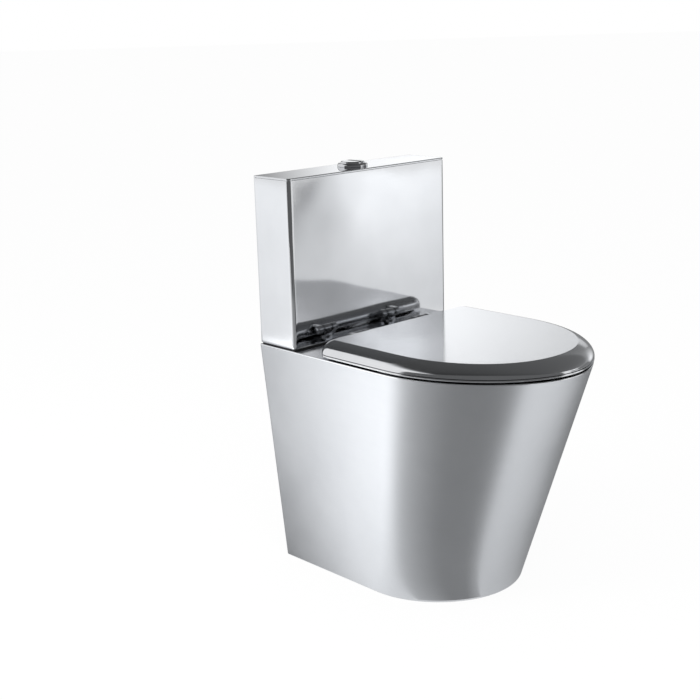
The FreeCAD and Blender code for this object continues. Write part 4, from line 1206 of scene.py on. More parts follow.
    def rim(self) -> Piece:
        """Skirt under the edge of the mouth, turned out at its foot.

        Returns:
            The piece.
        """
        foot, bend, top = self.deck_under - self.rim_depth, self.rim_bend, self.deck_under
        lip, turned = self.sheet + self.rim_return, (bend, foot + bend)
        flat, straight = bend + self.support, foot + bend + self.support
        section = [(0.0, top), (0.0, straight)] + arc(turned, bend, 180, 270, steps=5)
        section += [(flat, foot), (lip - self.rim_nose, foot), (lip, foot + self.sheet / 2),
                    (lip - self.rim_nose, foot + self.sheet), (flat, foot + self.sheet)]
        section += arc(turned, bend - self.sheet, 270, 180, steps=5)
        section += [(self.sheet, straight), (self.sheet, top)]
        form = Form()
        form.bands([form.ring(self.mouth.grown(out).loop(), z) for out, z in section], closed=True)
        return form.piece("flush_rim_skirt")

    def build(self) -> None:
        """Make and dress the pan's pieces."""
        hand_in(self.skin(), "pan", Slot.PAN, "pan_shroud")
        hand_in(self.deck_plate(), "pan", Slot.POLISHED, "pan_deck")
        hand_in(self.bowl(), "pan", Slot.BOWL, "bowl")
        hand_in(self.sump(), "pan", Slot.BOWL, "bowl_sump")
        hand_in(self.rim(), "pan", Slot.BOWL, "flush_rim")


def smooth_step_curve(knots: Sequence[Point], at: float) -> float:
    """Smooth curve through a few knots that never swings past them.

    Args:
        knots: (place, value) in order of place.
        at: Place to read.

    Returns:
        The value there.
    """
    slopes = [(b[1] - a[1]) / (b[0] - a[0]) for a, b in pairwise(knots)]
    ends = [slopes[0]]
    for a, b in pairwise(slopes):
        ends.append(0.0 if a * b <= 0 else 2 * a * b / (a + b))
    ends.append(slopes[-1])
    for index, (a, b) in enumerate(pairwise(knots)):
        if at <= b[0] or index == len(slopes) - 1:
            span = b[0] - a[0]
            t = (at - a[0]) / span
            start = (1 + 2 * t) * (1 - t) ** 2 * a[1] + t * t * (3 - 2 * t) * b[1]
            return start + span * (t * (1 - t) ** 2 * ends[index] - t * t * (1 - t) * ends[index + 1])
    return knots[-1][1]


def headed(points: Loop, start: float, end: float) -> list[Spot]:
    """Points of a bend with their headings, which turn evenly from start to end."""
    last = len(points) - 1
    return [(d, z, between(start, end, step, last)) for step, (d, z) in enumerate(points)]


@dataclass
class WasteWay:
    """Welded trap, spigot, brace and floor tabs behind the skin."""

    radius: float = 40.0
    sheet: float = 1.5
    bend: float = 55.0
    from_wall: float = 290.0
    throat_z: float = 190.0
    turn_z: float = 113.0
    outlet_z: float = 185.0
    spigot_radius: float = 51.0
    spigot_start: float = 8.0
    spigot_shoulder: float = 57.0
    spigot_neck: float = 75.0
    spigot_lip: tuple[Point, ...] = ((0.7, 0.0), (0.2, 0.4), (0.0, 1.2))
    spigot_bend: tuple[Point, ...] = ((0.0, -4.0), (0.4, 0.0), (1.6, 2.4))
    neck_flare: Point = (1.2, 2.0)
    spigot_sharp: float = 40.0
    bead: float = 0.8
    bead_half_width: float = 1.6
    bead_sink: float = 0.2
    tube_sides: int = 48
    grooves: Point = (20.0, 30.0)
    groove_depth: float = 0.5
    brace_from_wall: float = 98.0
    brace_thickness: float = 2.0
    brace_half_height: float = 55.0
    brace_gap: float = 0.2
    brace_play: float = 0.3
    tab_spacing: float = 96.0
    tab_reach: float = 22.0
    tab_out: float = 136.5
    tab_length: float = 40.0
    tab_thickness: float = 3.0
    tab_hole: float = 4.5
    tab_upstand: float = 14.0
    tab_corner: float = 5.0
    tab_rows: Point = (80.0, 250.0)

    def hoop(self, form: Form, radius: float, spot: Spot, shift: float = 0.0) -> Ring:
        """Ring of points square to a path in the middle plane.

        Args:
            form: Mesh that gets it.
            radius: Its radius.
            spot: (from wall, z, heading) on the path, the heading in degrees from straight down.
            shift: Distance further along the path.

        Returns:
            The ring.
        """
        d, z, heading = spot
        c, s = math.cos(math.radians(heading)), math.sin(math.radians(heading))
        return [form.bm.verts.new(place(x, d - out * c - shift * s, z - out * s - shift * c))
                for x, out in circle((0, 0), radius, self.tube_sides)]

    def tube(self, name: str, path: list[Spot]) -> Piece:
        """Round tube along a path, with a weld bead at each end.

        Args:
            name: Name of the piece.
            path: (from wall, z, heading) of each ring.

        Returns:
            The piece.
        """
        form = Form()
        rings = [self.hoop(form, self.radius, spot) for spot in path]
        rings += [self.hoop(form, self.radius - self.sheet, spot) for spot in reversed(path)]
        form.bands(rings, closed=True)
        for end in (path[0], path[-1]):
            self.weld(form, end)
        return form.piece(name)

    def weld(self, form: Form, end: Spot) -> None:
        """Bead round the tube at one end of a path.

        Args:
            form: Mesh of the tube.
            end: (from wall, z, heading) of the end.
        """
        middle = self.radius - self.bead_sink
        form.bands([self.hoop(form, middle + self.bead * out, end, self.bead_half_width * shift)
                    for out, shift in circle((0, 0), 1.0, 8)], closed=True)

    def trap(self) -> list[tuple[Piece, str]]:
        """Three welded tubes of the trap, each with the node that it stands for.

        Returns:
            The tubes and their nodes.
        """
        d0, d1 = self.from_wall, self.from_wall - 2 * self.bend
        inlet = [(d0, z, 0.0) for z in (self.throat_z, self.turn_z)]
        seal = headed(arc((d0 - self.bend, self.turn_z), self.bend, 0, -180, steps=24), 0, 180)
        seal += headed(arc((d1 - self.bend, self.outlet_z - self.bend), self.bend, 0, 90, steps=12), 180, 90)
        outlet = [(d, self.outlet_z, 90.0) for d in (d1 - self.bend, self.spigot_neck)]
        return [(self.tube("trap_inlet_tube", inlet), "trap_inlet"),
                (self.tube("trap_bend_tube", seal), "trap_bend"),
                (self.tube("trap_outlet_tube", outlet), "trap_outlet")]

    def spigot(self) -> Piece:
        """Waste spigot with two shallow sealing grooves.

        Returns:
            The piece.
        """
        big, wall = self.spigot_radius, self.sheet
        start, shoulder, neck = self.spigot_start, self.spigot_shoulder, self.spigot_neck
        outer = [(big - drawn, start + along) for drawn, along in self.spigot_lip]
        floor = big - self.groove_depth
        for middle in self.grooves:
            outer += [(big, middle - 2), (floor, middle - 1), (floor, middle + 1), (big, middle + 2)]
        outer += [(big - drawn, shoulder + along) for drawn, along in self.spigot_bend]
        outer += [(self.radius + self.neck_flare[0], neck - self.neck_flare[1]), (self.radius, neck)]
        inner = [(self.radius - wall, neck), (big - wall, shoulder), (big - wall, start)]
        form = Form()
        form.turn(outer + inner, (0, self.outlet_z), Axis.DEPTH, Sides.SPIGOT)
        return form.piece("waste_spigot", self.spigot_sharp)

    def brace(self, pan: Pan) -> Piece:
        """Plate across the skin with a hole for the trap.

        Args:
            pan: Pan whose skin it reaches.

        Returns:
            The piece.
        """
        low, high = self.outlet_z - self.brace_half_height, self.outlet_z + self.brace_half_height
        gap = pan.sheet + self.brace_gap
        low_half, high_half = pan.plan(low).half_width - gap, pan.plan(high).half_width - gap
        sides = [(-low_half, low), (low_half, low), (high_half, high), (-high_half, high)]
        holes = [circle((0, self.outlet_z), self.radius + self.brace_play, Sides.SPIGOT)]
        form = Form()
        form.prism(sides, self.brace_from_wall, self.brace_from_wall + self.brace_thickness, Axis.DEPTH,
                   holes, 0.3, 0.3, 0.3)
        return form.piece("brace_plate")

    def floor_tabs(self, repeat: RepeatTree) -> None:
        """Four tabs on the floor flange, each with a fixing hole and an upstand.

        Args:
            repeat: Tree that repeats them.
        """
        base, top = self.sheet, self.sheet + self.tab_thickness
        near, far = -self.tab_length / 2, self.tab_length / 2
        inner, outer = -self.tab_reach, self.tab_out - self.tab_spacing
        form = Form()
        bend = self.tab_corner
        outline = [(inner, near)] + arc((outer - bend, near + bend), bend, -90, 0, steps=5)
        outline += arc((outer - bend, far - bend), bend, 0, 90, steps=5) + [(inner, far)]
        form.prism(outline, base, top, holes=[circle((0, 0), self.tab_hole, Sides.BORE)],
                   low_round=0.3, high_round=0.5, ease=0.3)
        rib = box((inner, near), (inner + self.tab_thickness, far))
        form.prism(rib, top, top + self.tab_upstand, high_round=0.6, ease=0.3)
        places = []
        for row in self.tab_rows:
            places += [(self.tab_spacing, row, 0.0), (-self.tab_spacing, row, 180.0)]
        repeat.stand("floor_tabs", form, places, Slot.BOWL, "floor_brackets")

    def build(self, pan: Pan, repeat: RepeatTree) -> None:
        """Make and dress the pieces behind the skin.

        Args:
            pan: Pan that they stand in.
            repeat: Tree that repeats the tabs.
        """
        for obj, node in self.trap():
            hand_in(obj, "pan", Slot.BOWL, node)
        hand_in(self.spigot(), "pan", Slot.BOWL, "outlet_spigot")
        hand_in(self.brace(pan), "pan", Slot.BOWL, "rear_brace")
        self.floor_tabs(repeat)


# Seat and lid

@dataclass
class SeatAndLid:
    """Pressed seat ring, rolled lid and the rubber bumpers of both."""

    plan: DPlan = DPlan(188.0, 140.0, 297.0, 523.0, 0.50, 28.0, 70.0, 2.0, 8)
    deck_z: float = 400.0
    rest_gap: float = 0.3
    under: float = 403.5
    soft_edge: float = 0.5
    flange: float = 3.2
    flange_edge: Point = (0.7, 0.2)
    flange_fillet: float = 0.6
    flange_width: float = 7.0
    crown: float = 13.8
    shoulder: float = 19.0
    wall: float = 2.0
    hole: EggPlan = EggPlan(110.14, 232.0, 345.04, 462.04)
    flare: float = 14.0
    roll: float = 6.9
    centre: Point = (0.0, 340.0)
    lid_gap: float = 0.8
    lid_rise: float = 19.0
    lid_side: float = 29.0
    lid_front: float = 35.0
    lid_rear: float = 12.0
    lid_sweep: float = 60.0
    lid_steps: int = 14
    lid_fullness: float = 0.59
    lid_sheet: float = 1.5
    lid_lip: float = 0.4
    lid_lip_rise: Point = (0.05, 0.5)
    notch: Point = (88.0, 99.0)
    notch_far: float = 156.0
    notch_top: float = 422.0
    notch_margin: float = 5.0
    bumper_radius: float = 7.0
    bumper_round: float = 2.2
    bumper_flat: float = 2.6
    bumper_edge: float = 0.3
    bumper_places: tuple[Point, ...] = ((143.0, 330.0), (112.0, 192.0))

    @property
    def flange_top(self) -> float:
        """Height of the seat's flange."""
        return self.under + self.flange

    @property
    def top(self) -> float:
        """Height of the seat's top."""
        return self.flange_top + self.crown

    def seat(self) -> Piece:
        """Seat ring: flange, crowned top and rolled opening, hollow underneath.

        Returns:
            The piece.
        """
        form = Form()
        guide = self.plan.loop()
        rows: list[tuple[Loop, float]] = []

        def outer(drawn: float, z: float) -> None:
            """Add a row on the outside of the seat."""
            rows.append((self.plan.inset(drawn).loop(), z))

        def inner(grown: float, z: float) -> None:
            """Add a row on the opening of the seat."""
            rows.append((matched(self.hole.grown(grown).loop(), guide, self.centre), z))

        flange_top, top, under, soft = self.flange_top, self.top, self.under, self.soft_edge
        edge, chamfer = self.flange_edge
        for drawn, z in ((soft, under), (0.0, under + soft), (0.0, flange_top - edge),
                         (chamfer, flange_top - chamfer), (edge, flange_top),
                         (self.flange_width - self.flange_fillet, flange_top),
                         (self.flange_width, flange_top + soft)):
            outer(drawn, z)
        for c, s in quarter(10)[1:]:
            outer(self.flange_width + self.shoulder * (1 - c), flange_top + soft + (self.crown - soft) * s)
        brow = self.plan.inset(self.flange_width + self.shoulder).loop()
        lip = matched(self.hole.grown(self.flare).loop(), guide, self.centre)
        for share in (0.12, 0.5, 0.88):
            rows.append(([(between(a[0], b[0], share), between(a[1], b[1], share))
                          for a, b in zip(brow, lip)], top))
        for c, s in quarter(8):
            inner(self.flare * (1 - s), top - self.roll * (1 - c))
        for grown, z in ((0.0, top - self.roll - 2), (0.0, under + 0.6), (0.4, under), (self.wall, under),
                         (self.wall, top - self.roll - 1),
                         (self.wall + self.flare * 0.4, top - self.wall - 1),
                         (self.wall + self.flare, top - self.wall)):
            inner(grown, z)
        hollow = self.flange_width + 2 * self.wall
        for drawn, z in ((self.flange_width + self.wall + self.shoulder, top - self.wall),
                         (hollow + 3, flange_top + self.crown * 0.4), (hollow, under)):
            outer(drawn, z)
        form.bands([form.ring(loop, z) for loop, z in rows], closed=True)
        return form.piece("seat_pressing")

    def lid_row(self, share: float, wall: float) -> tuple[Loop, float]:
        """Outline and height of the lid part of the way up its roll.

        Args:
            share: Share of the roll's sweep.
            wall: Amount drawn in.

        Returns:
            The outline and its height.
        """
        sweep = math.radians(self.lid_sweep)
        drawn = (1 - math.cos(sweep * share)) / (1 - math.cos(sweep))
        rise = math.sin(sweep * share) / math.sin(sweep) * (self.lid_rise - wall)
        plan = self.plan.inset(wall + drawn * self.lid_side, wall + drawn * self.lid_front,
                               wall + drawn * self.lid_rear,
                               self.plan.fullness + drawn * (self.lid_fullness - self.plan.fullness))
        return plan.loop(), self.flange_top + self.lid_gap + rise

    def lid(self) -> Piece:
        """Polished lid with a rolled edge, a crisp crease and a flat top.

        Returns:
            The piece.
        """
        form = Form()
        shares = [step / self.lid_steps for step in range(self.lid_steps + 1)]
        rows, inner = ([self.lid_row(share, wall) for share in shares] for wall in (0.0, self.lid_sheet))
        edge, lower = rows[0]
        rings = [form.ring(*row) for row in inner[:0:-1]]
        lip, sheet, (flat, round_end) = self.lid_lip, self.lid_sheet, self.lid_lip_rise
        for out, up in ((-sheet, round_end), (lip - sheet, flat), (-lip, flat), (0.0, round_end)):
            rings.append(form.ring(offset(edge, out), lower + up))
        rings += [form.ring(*row) for row in rows[1:]]
        form.bands(rings)
        for end in (rings[0], rings[-1]):
            form.cap(end)
            form.crease(end)
        obj = form.piece("lid_pressing")
        for side in SIDES:
            tool = Form()
            low_x, high_x = sorted(side * x for x in self.notch)
            tool.prism(box((low_x, self.plan.rear - self.notch_margin), (high_x, self.notch_far)),
                       lower - self.notch_margin, self.notch_top)
            carve(obj, tool.piece("notch_tool"))
        return obj

    def bumpers(self, body: str, low: float, high: float, repeat: RepeatTree) -> None:
        """Four domed rubber bumpers, handed in as one piece.

        Args:
            body: Body that carries them, the seat or the lid.
            low: Height of the dome that rests.
            high: Height of the end that is held.
            repeat: Tree that repeats them.
        """
        radius, dome, edge = self.bumper_radius, self.bumper_round, self.bumper_edge
        section = [(0.0, low), (radius - self.bumper_flat, low)]
        section += arc((radius - dome, low + dome), dome, -75, 0, steps=5)
        section += [(radius, high - edge), (radius - edge, high), (0.0, high)]
        form = Form()
        form.turn(section, (0, 0), Axis.UP, Sides.KNOB)
        places = [(side * x, d, 0.0) for x, d in self.bumper_places for side in SIDES]
        repeat.stand(body + "_buffers", form, places, Slot.RUBBER, body + "_bumpers", body)

    def build(self, repeat: RepeatTree) -> None:
        """Make and dress the seat and the lid.

        Args:
            repeat: Tree that repeats the bumpers.
        """
        hand_in(self.seat(), "seat", Slot.POLISHED, "seat_ring")
        hand_in(self.lid(), "lid", Slot.POLISHED, "lid")
        lid_under = self.flange_top + self.lid_gap + self.lid_rise - self.lid_sheet
        self.bumpers("seat", self.deck_z + self.rest_gap, self.top - self.wall, repeat)
        self.bumpers("lid", self.top + self.rest_gap, lid_under, repeat)


@dataclass
class Hinges:
    """Posts on the deck, pins, the brackets of seat and lid, and the studs under the deck."""

    spacing: float = 77.5
    from_wall: float = 128.0
    axis_z: float = 414.0
    deck_z: float = 400.0
    deck_under: float = 398.0
    knuckle: float = 7.5
    post_width: float = 16.0
    knuckle_width: float = 10.0
    gap: float = 3.0
    pin: float = 4.0
    head: float = 6.0
    head_thickness: float = 2.0
    head_gap: float = 0.05
    head_wall: float = 0.6
    head_dome: tuple[Point, ...] = ((0.5, 0.5), (1.5, 0.1))
    pin_tip: float = 0.4
    foot: float = 10.0
    foot_height: float = 3.0
    foot_round: float = 1.2
    foot_sink: float = 0.5
    post_edge: float = 0.8
    bracket_edge: float = 0.6
    pin_play: float = 0.1
    seat_pin_play: float = 0.02
    fillet: float = 1.5
    strap: float = 2.5
    lid_strap: float = 3.0
    seat_under: float = 403.5
    seat_strap_end: float = 156.0
    lid_pad: Point = (153.5, 189.5)
    lid_pad_z: Point = (421.0, 425.0)
    lid_strap_end: float = 156.0
    stud_radius: float = 4.0
    stud_length: float = 30.0
    washer_radius: float = 11.0
    washer: float = 3.0
    nut_flats: float = 13.0
    nut_height: float = 7.0

    @property
    def axis(self) -> Point:
        """Hinge axis seen from the side."""
        return (self.from_wall, self.axis_z)

    def sides(self) -> tuple[float, float, float, float]:
        """Inner and outer X of the seat's knuckle, then of the lid's.

        Returns:
            The four places.
        """
        seat_out = self.spacing - self.post_width / 2 - self.gap
        lid_in = self.spacing + self.post_width / 2 + self.gap
        return seat_out - self.knuckle_width, seat_out, lid_in, lid_in + self.knuckle_width

    @staticmethod
    def span(side: int, inner: float, outer: float) -> Point:
        """Low and high X of a stretch on one side."""
        return (inner, outer) if side > 0 else (-outer, -inner)

    def barrel(self, form: Form, outline: Loop, span: Point, play: float, edge: float,
               ease: float = 0.2) -> None:
        """Draw out a knuckle between two X, bored for the pin with some play, with rounded edges."""
        form.prism(outline, *span, Axis.ACROSS, [circle(self.axis, self.pin + play, Sides.BORE)],
                   edge, edge, ease)

    def posts(self) -> Piece:
        """Two posts, each a round foot and a knuckle.

        Returns:
            The piece.
        """
        form = Form()
        r, d = self.knuckle, self.from_wall
        top, half = self.deck_z + self.foot_height, self.post_width / 2
        sunk, bend = top - self.foot_sink, self.foot_round
        outline = [(d - r, sunk), (d + r, sunk)] + arc(self.axis, r, 0, 180, steps=16)
        for side in SIDES:
            span = self.span(side, self.spacing - half, self.spacing + half)
            self.barrel(form, outline, span, self.pin_play, self.post_edge, 0.3)
            foot = [(0.0, self.deck_z), (self.foot, self.deck_z), (self.foot, top - bend)]
            foot += arc((self.foot - bend, top - bend), bend, 15, 90, steps=4)
            form.turn(foot + [(0.0, top)], (side * self.spacing, d), Axis.UP, Sides.WASHER)
        return form.piece("hinge_post_pair")

    def pins(self) -> Piece:
        """Two pins with domed heads.

        Returns:
            The piece.
        """
        form = Form()
        seat_in, _, _, lid_out = self.sides()
        for side in SIDES:
            start = lid_out + self.head_gap
            end = start + self.head_thickness
            profile = [(0.0, seat_in), (self.pin - self.pin_tip, seat_in), (self.pin, seat_in + self.pin_tip),
                       (self.pin, start), (self.head, start), (self.head, start + self.head_wall)]
            profile += [(self.head - drawn, end - down) for drawn, down in self.head_dome]
            form.turn([(r, side * x) for r, x in profile + [(0.0, end)]], self.axis, Axis.ACROSS, Sides.KNOB)
        return form.piece("hinge_pin_pair")

    def seat_brackets(self) -> Piece:
        """Knuckle, leg and strap under the seat's flange, on each side.

        Returns:
            The piece.
        """
        form = Form()
        seat_in, seat_out, _, _ = self.sides()
        d, r, foot = self.from_wall, self.knuckle, self.seat_under - self.strap
        outline = [(d, foot), (self.seat_strap_end, foot), (self.seat_strap_end, self.seat_under),
                   (d + r + self.fillet, self.seat_under), (d + r, self.seat_under + self.fillet)]
        outline += arc(self.axis, r, 0, 250, steps=24)
        for side in SIDES:
            span = self.span(side, seat_in, seat_out)
            self.barrel(form, outline, span, self.seat_pin_play, self.bracket_edge)
        return form.piece("seat_hinge_pair")

    def lid_brackets(self) -> Piece:
        """Knuckle, strap and pad under the lid's top, on each side.

        Returns:
            The piece.
        """
        form = Form()
        _, _, lid_in, lid_out = self.sides()
        top = self.axis_z + self.knuckle
        strap_low = top - self.lid_strap
        meet = math.degrees(math.asin((strap_low - self.axis_z) / self.knuckle))
        outline = arc(self.axis, self.knuckle, 90, 360 + meet, steps=30)
        outline += [(self.lid_strap_end, strap_low), (self.lid_strap_end, top)]
        (near, far), (pad_low, pad_high) = self.lid_pad, self.lid_pad_z
        pad = box((near, pad_low), (far, pad_high))
        for side in SIDES:
            span = self.span(side, lid_in, lid_out)
            self.barrel(form, outline, span, self.pin_play, self.bracket_edge)
            form.prism(pad, *span, Axis.ACROSS, (), 0.3, 0.3, 0.2)
        return form.piece("lid_hinge_pair")

    def fixings(self, repeat: RepeatTree) -> None:
        """Studs, washers and nuts under the deck.

        Args:
            repeat: Tree that repeats them.
        """
        places = [(side * self.spacing, self.from_wall, 0.0) for side in SIDES]
        stud = Form()
        stud.turn(threaded(self.stud_radius, self.deck_z - self.stud_length, self.deck_z - 1), (0, 0),
                  Axis.UP, Sides.BORE)
        repeat.stand("hinge_stud_pair", stud, places, Slot.FASTENER, "hinge_studs", sharp=THREAD_ANGLE)
        low = self.deck_under - self.washer
        washer = bored(self.washer_radius, Sides.WASHER, self.stud_radius, (low, self.deck_under),
                       0.5, 0.3)
        repeat.stand("hinge_washer_pair", washer, places, Slot.RUBBER, "hinge_washers")
        nut = bored(self.nut_flats / math.sqrt(3), Sides.NUT, self.stud_radius, (low - self.nut_height, low),
                    (0.7, 0.5), 0.2, 0.3)
        repeat.stand("hinge_nut_pair", nut, places, Slot.FASTENER, "hinge_nuts")

    def build(self, repeat: RepeatTree) -> None:
        """Make and dress the hinges.

        Args:
            repeat: Tree that repeats the fixings.
        """
        hand_in(self.posts(), "pan", Slot.POLISHED, "hinge_posts")
        hand_in(self.pins(), "seat", Slot.POLISHED, "hinge_pins")
        hand_in(self.seat_brackets(), "seat", Slot.POLISHED, "seat_hinge_brackets")
        hand_in(self.lid_brackets(), "lid", Slot.POLISHED, "lid_hinge_brackets")
        self.fixings(repeat)


# Cistern

@dataclass
class Cistern:
    """Folded box, tray-shaped top, gasket and coupling bolts."""

    half_width: float = 184.5
    depth: float = 87.5
    floor: float = 402.0
    shell_top: float = 681.5
    top: float = 685.5
    bend: float = 6.0
    rear_bend: float = 1.5
    least_bend: float = 0.6
    sheet: float = 1.5
    fold: float = 2.0
    floor_support: float = 2.0
    wall_support: float = 3.0
    seam: float = 0.7
    lip: float = 10.0
    lip_gap: float = 0.5
    sleeve_hole: float = 22.5
    middle: float = 43.75
    gasket_inset: float = 2.0
    deck_z: float = 400.0
    deck_under: float = 398.0
    valve_hole: float = 25.3
    gasket_valve_hole: float = 36.0
    inlet_x: float = 145.0
    inlet_hole: float = 12.3
    gasket_inlet_hole: float = 20.0
    bolt_x: float = 100.0
    bolt_hole: float = 4.5
    wall_hole: Spot = (95.0, 620.0, 4.0)
    bolt_radius: float = 4.0
    bolt_drop: float = 35.0
    bolt_head: float = 8.0
    bolt_head_height: float = 5.5
    bolt_skirt: float = 2.2
    bolt_angles: tuple[float, ...] = (0.3, 0.6, 0.9, 1.2)
    washer: float = 3.0
    washer_radius: float = 11.0
    wing_radius: float = 8.0
    wing_height: float = 9.0
    wing_reach: float = 17.0
    wing_thickness: float = 3.0
    wing_sink: float = 1.5
    wing_round: float = 4.0
    wing_tip: tuple[Point, ...] = ((0.0, 0.5), (1.0, 0.1))

    def plan(self, inset: float) -> Loop:
        """Outline drawn in all round."""
        return rounded_box(self.half_width - inset, inset, self.depth - inset,
                           max(self.rear_bend - inset, self.least_bend),
                           max(self.bend - inset, self.bend / 4))

    def holes(self, valve: float, inlet: float) -> list[Loop]:
        """Holes for the flush valve, the inlet and the two coupling bolts."""
        holes = [circle((0, self.middle), valve, Sides.VALVE), circle((self.inlet_x, self.middle), inlet)]
        return holes + [circle((side * self.bolt_x, self.middle), self.bolt_hole, Sides.ROD)
                        for side in SIDES]

    def shell(self) -> Piece:
        """Folded box with an open top, holes in its floor and two wall-fixing holes.

        Returns:
            The piece.
        """
        form = Form()
        rings = [form.ring(self.plan(self.fold * (1 - s)), self.floor + self.fold * (1 - c))
                 for c, s in quarter(4)]
        ground = form.ring(self.plan(self.fold + self.floor_support), self.floor)
        low = form.ring(self.plan(0), self.floor + self.fold + self.wall_support)
        high = form.ring(self.plan(0), self.shell_top)
        form.bands([ground, *rings, low])
        last = len(low) - 1
        form.band(low, high, (0, last))
        holes = self.holes(self.valve_hole, self.inlet_hole)
        form.cap(ground, *[form.ring(hole, self.floor) for hole in holes])
        x, z, radius = self.wall_hole
        back = [low[last], low[0], low[1], high[1], high[0], high[last]]
        screws = [circle((side * x, z), radius, Sides.BORE) for side in SIDES]
        form.cap(back, *[form.ring(screw, 0.0, Axis.DEPTH) for screw in screws])
        obj = form.piece("cistern_box")
        thicken(obj, self.sheet)
        return obj

    def cover(self) -> Piece:
        """Tray-shaped top with rounded edges and a lip that drops inside the shell.

        Returns:
            The piece.
        """
        form = Form()
        hole = circle((0, self.middle), self.sleeve_hole, Sides.VALVE)
        form.prism(self.plan(0), self.shell_top + self.seam, self.top, holes=[hole], low_round=0.4,
                   high_round=1.1, ease=1.0)
        inset = self.sheet + self.lip_gap
        form.prism(self.plan(inset), self.shell_top - self.lip, self.shell_top + self.seam,
                   holes=[self.plan(inset + self.sheet)], low_round=0.3, ease=0.2)
        return form.piece("cistern_cover")

    def gasket(self) -> Piece:
        """Rubber sheet under the cistern.

        Returns:
            The piece.
        """
        form = Form()
        form.prism(self.plan(self.gasket_inset), self.deck_z, self.floor,
                   holes=self.holes(self.gasket_valve_hole, self.gasket_inlet_hole),
                   low_round=0.3, high_round=0.3, ease=0.3)
        return form.piece("foot_gasket")

    def couplings(self, repeat: RepeatTree) -> None:
        """Two bolts with rubber washers in the cistern and wing nuts under the deck.

        Args:
            repeat: Tree that repeats them.
        """
        places = [(side * self.bolt_x, self.middle, 0.0) for side in SIDES]
        inside = self.floor + self.sheet
        seat = inside + self.washer
        bolt = Form()
        bolt.turn(threaded(self.bolt_radius, self.deck_z - self.bolt_drop, seat), (0, 0), Axis.UP, Sides.BORE)
        skirt, dome = seat + self.bolt_skirt, self.bolt_head_height - self.bolt_skirt
        head = [(0.0, seat), (self.bolt_head, seat), (self.bolt_head, skirt)]
        head += [(self.bolt_head * math.cos(a), skirt + dome * math.sin(a)) for a in self.bolt_angles]
        bolt.turn(head + [(0.0, seat + self.bolt_head_height)], (0, 0), Axis.UP, Sides.KNOB)
        repeat.stand("coupling_bolt_pair", bolt, places, Slot.FASTENER, "coupling_bolts", sharp=THREAD_ANGLE)
        washer = bored(self.washer_radius, Sides.WASHER, self.bolt_radius, (inside, seat), 0.4, 0.6)
        repeat.stand("coupling_washer_pair", washer, places, Slot.RUBBER, "coupling_washers")
        low, high = self.deck_under - self.wing_height, self.deck_under
        nut = bored(self.wing_radius, Sides.KNOB, self.bolt_radius, (low, high), 1.0, 0.4, 0.4)
        half, reach, bend = self.wing_thickness / 2, self.wing_reach, self.wing_round
        root = self.wing_radius - self.wing_sink
        wing = [(root, high - 1), (root, low + 3)] + arc((reach - bend, low + bend), bend, -90, 0, steps=6)
        wing += [(reach - drawn, high - down) for drawn, down in self.wing_tip]
        for side in SIDES:
            nut.prism([(side * x, z) for x, z in wing], -half, half, Axis.DEPTH,
                      low_round=0.8, high_round=0.8, ease=0.2)
        repeat.stand("wing_nut_pair", nut, places, Slot.FASTENER, "coupling_wing_nuts")

    def build(self, repeat: RepeatTree) -> None:
        """Make and dress the cistern.

        Args:
            repeat: Tree that repeats the couplings.
        """
        hand_in(self.shell(), "pan", Slot.CISTERN, "cistern_shell")
        hand_in(self.cover(), "pan", Slot.CISTERN, "cistern_top")
        hand_in(self.gasket(), "pan", Slot.RUBBER, "cistern_gasket")
        self.couplings(repeat)


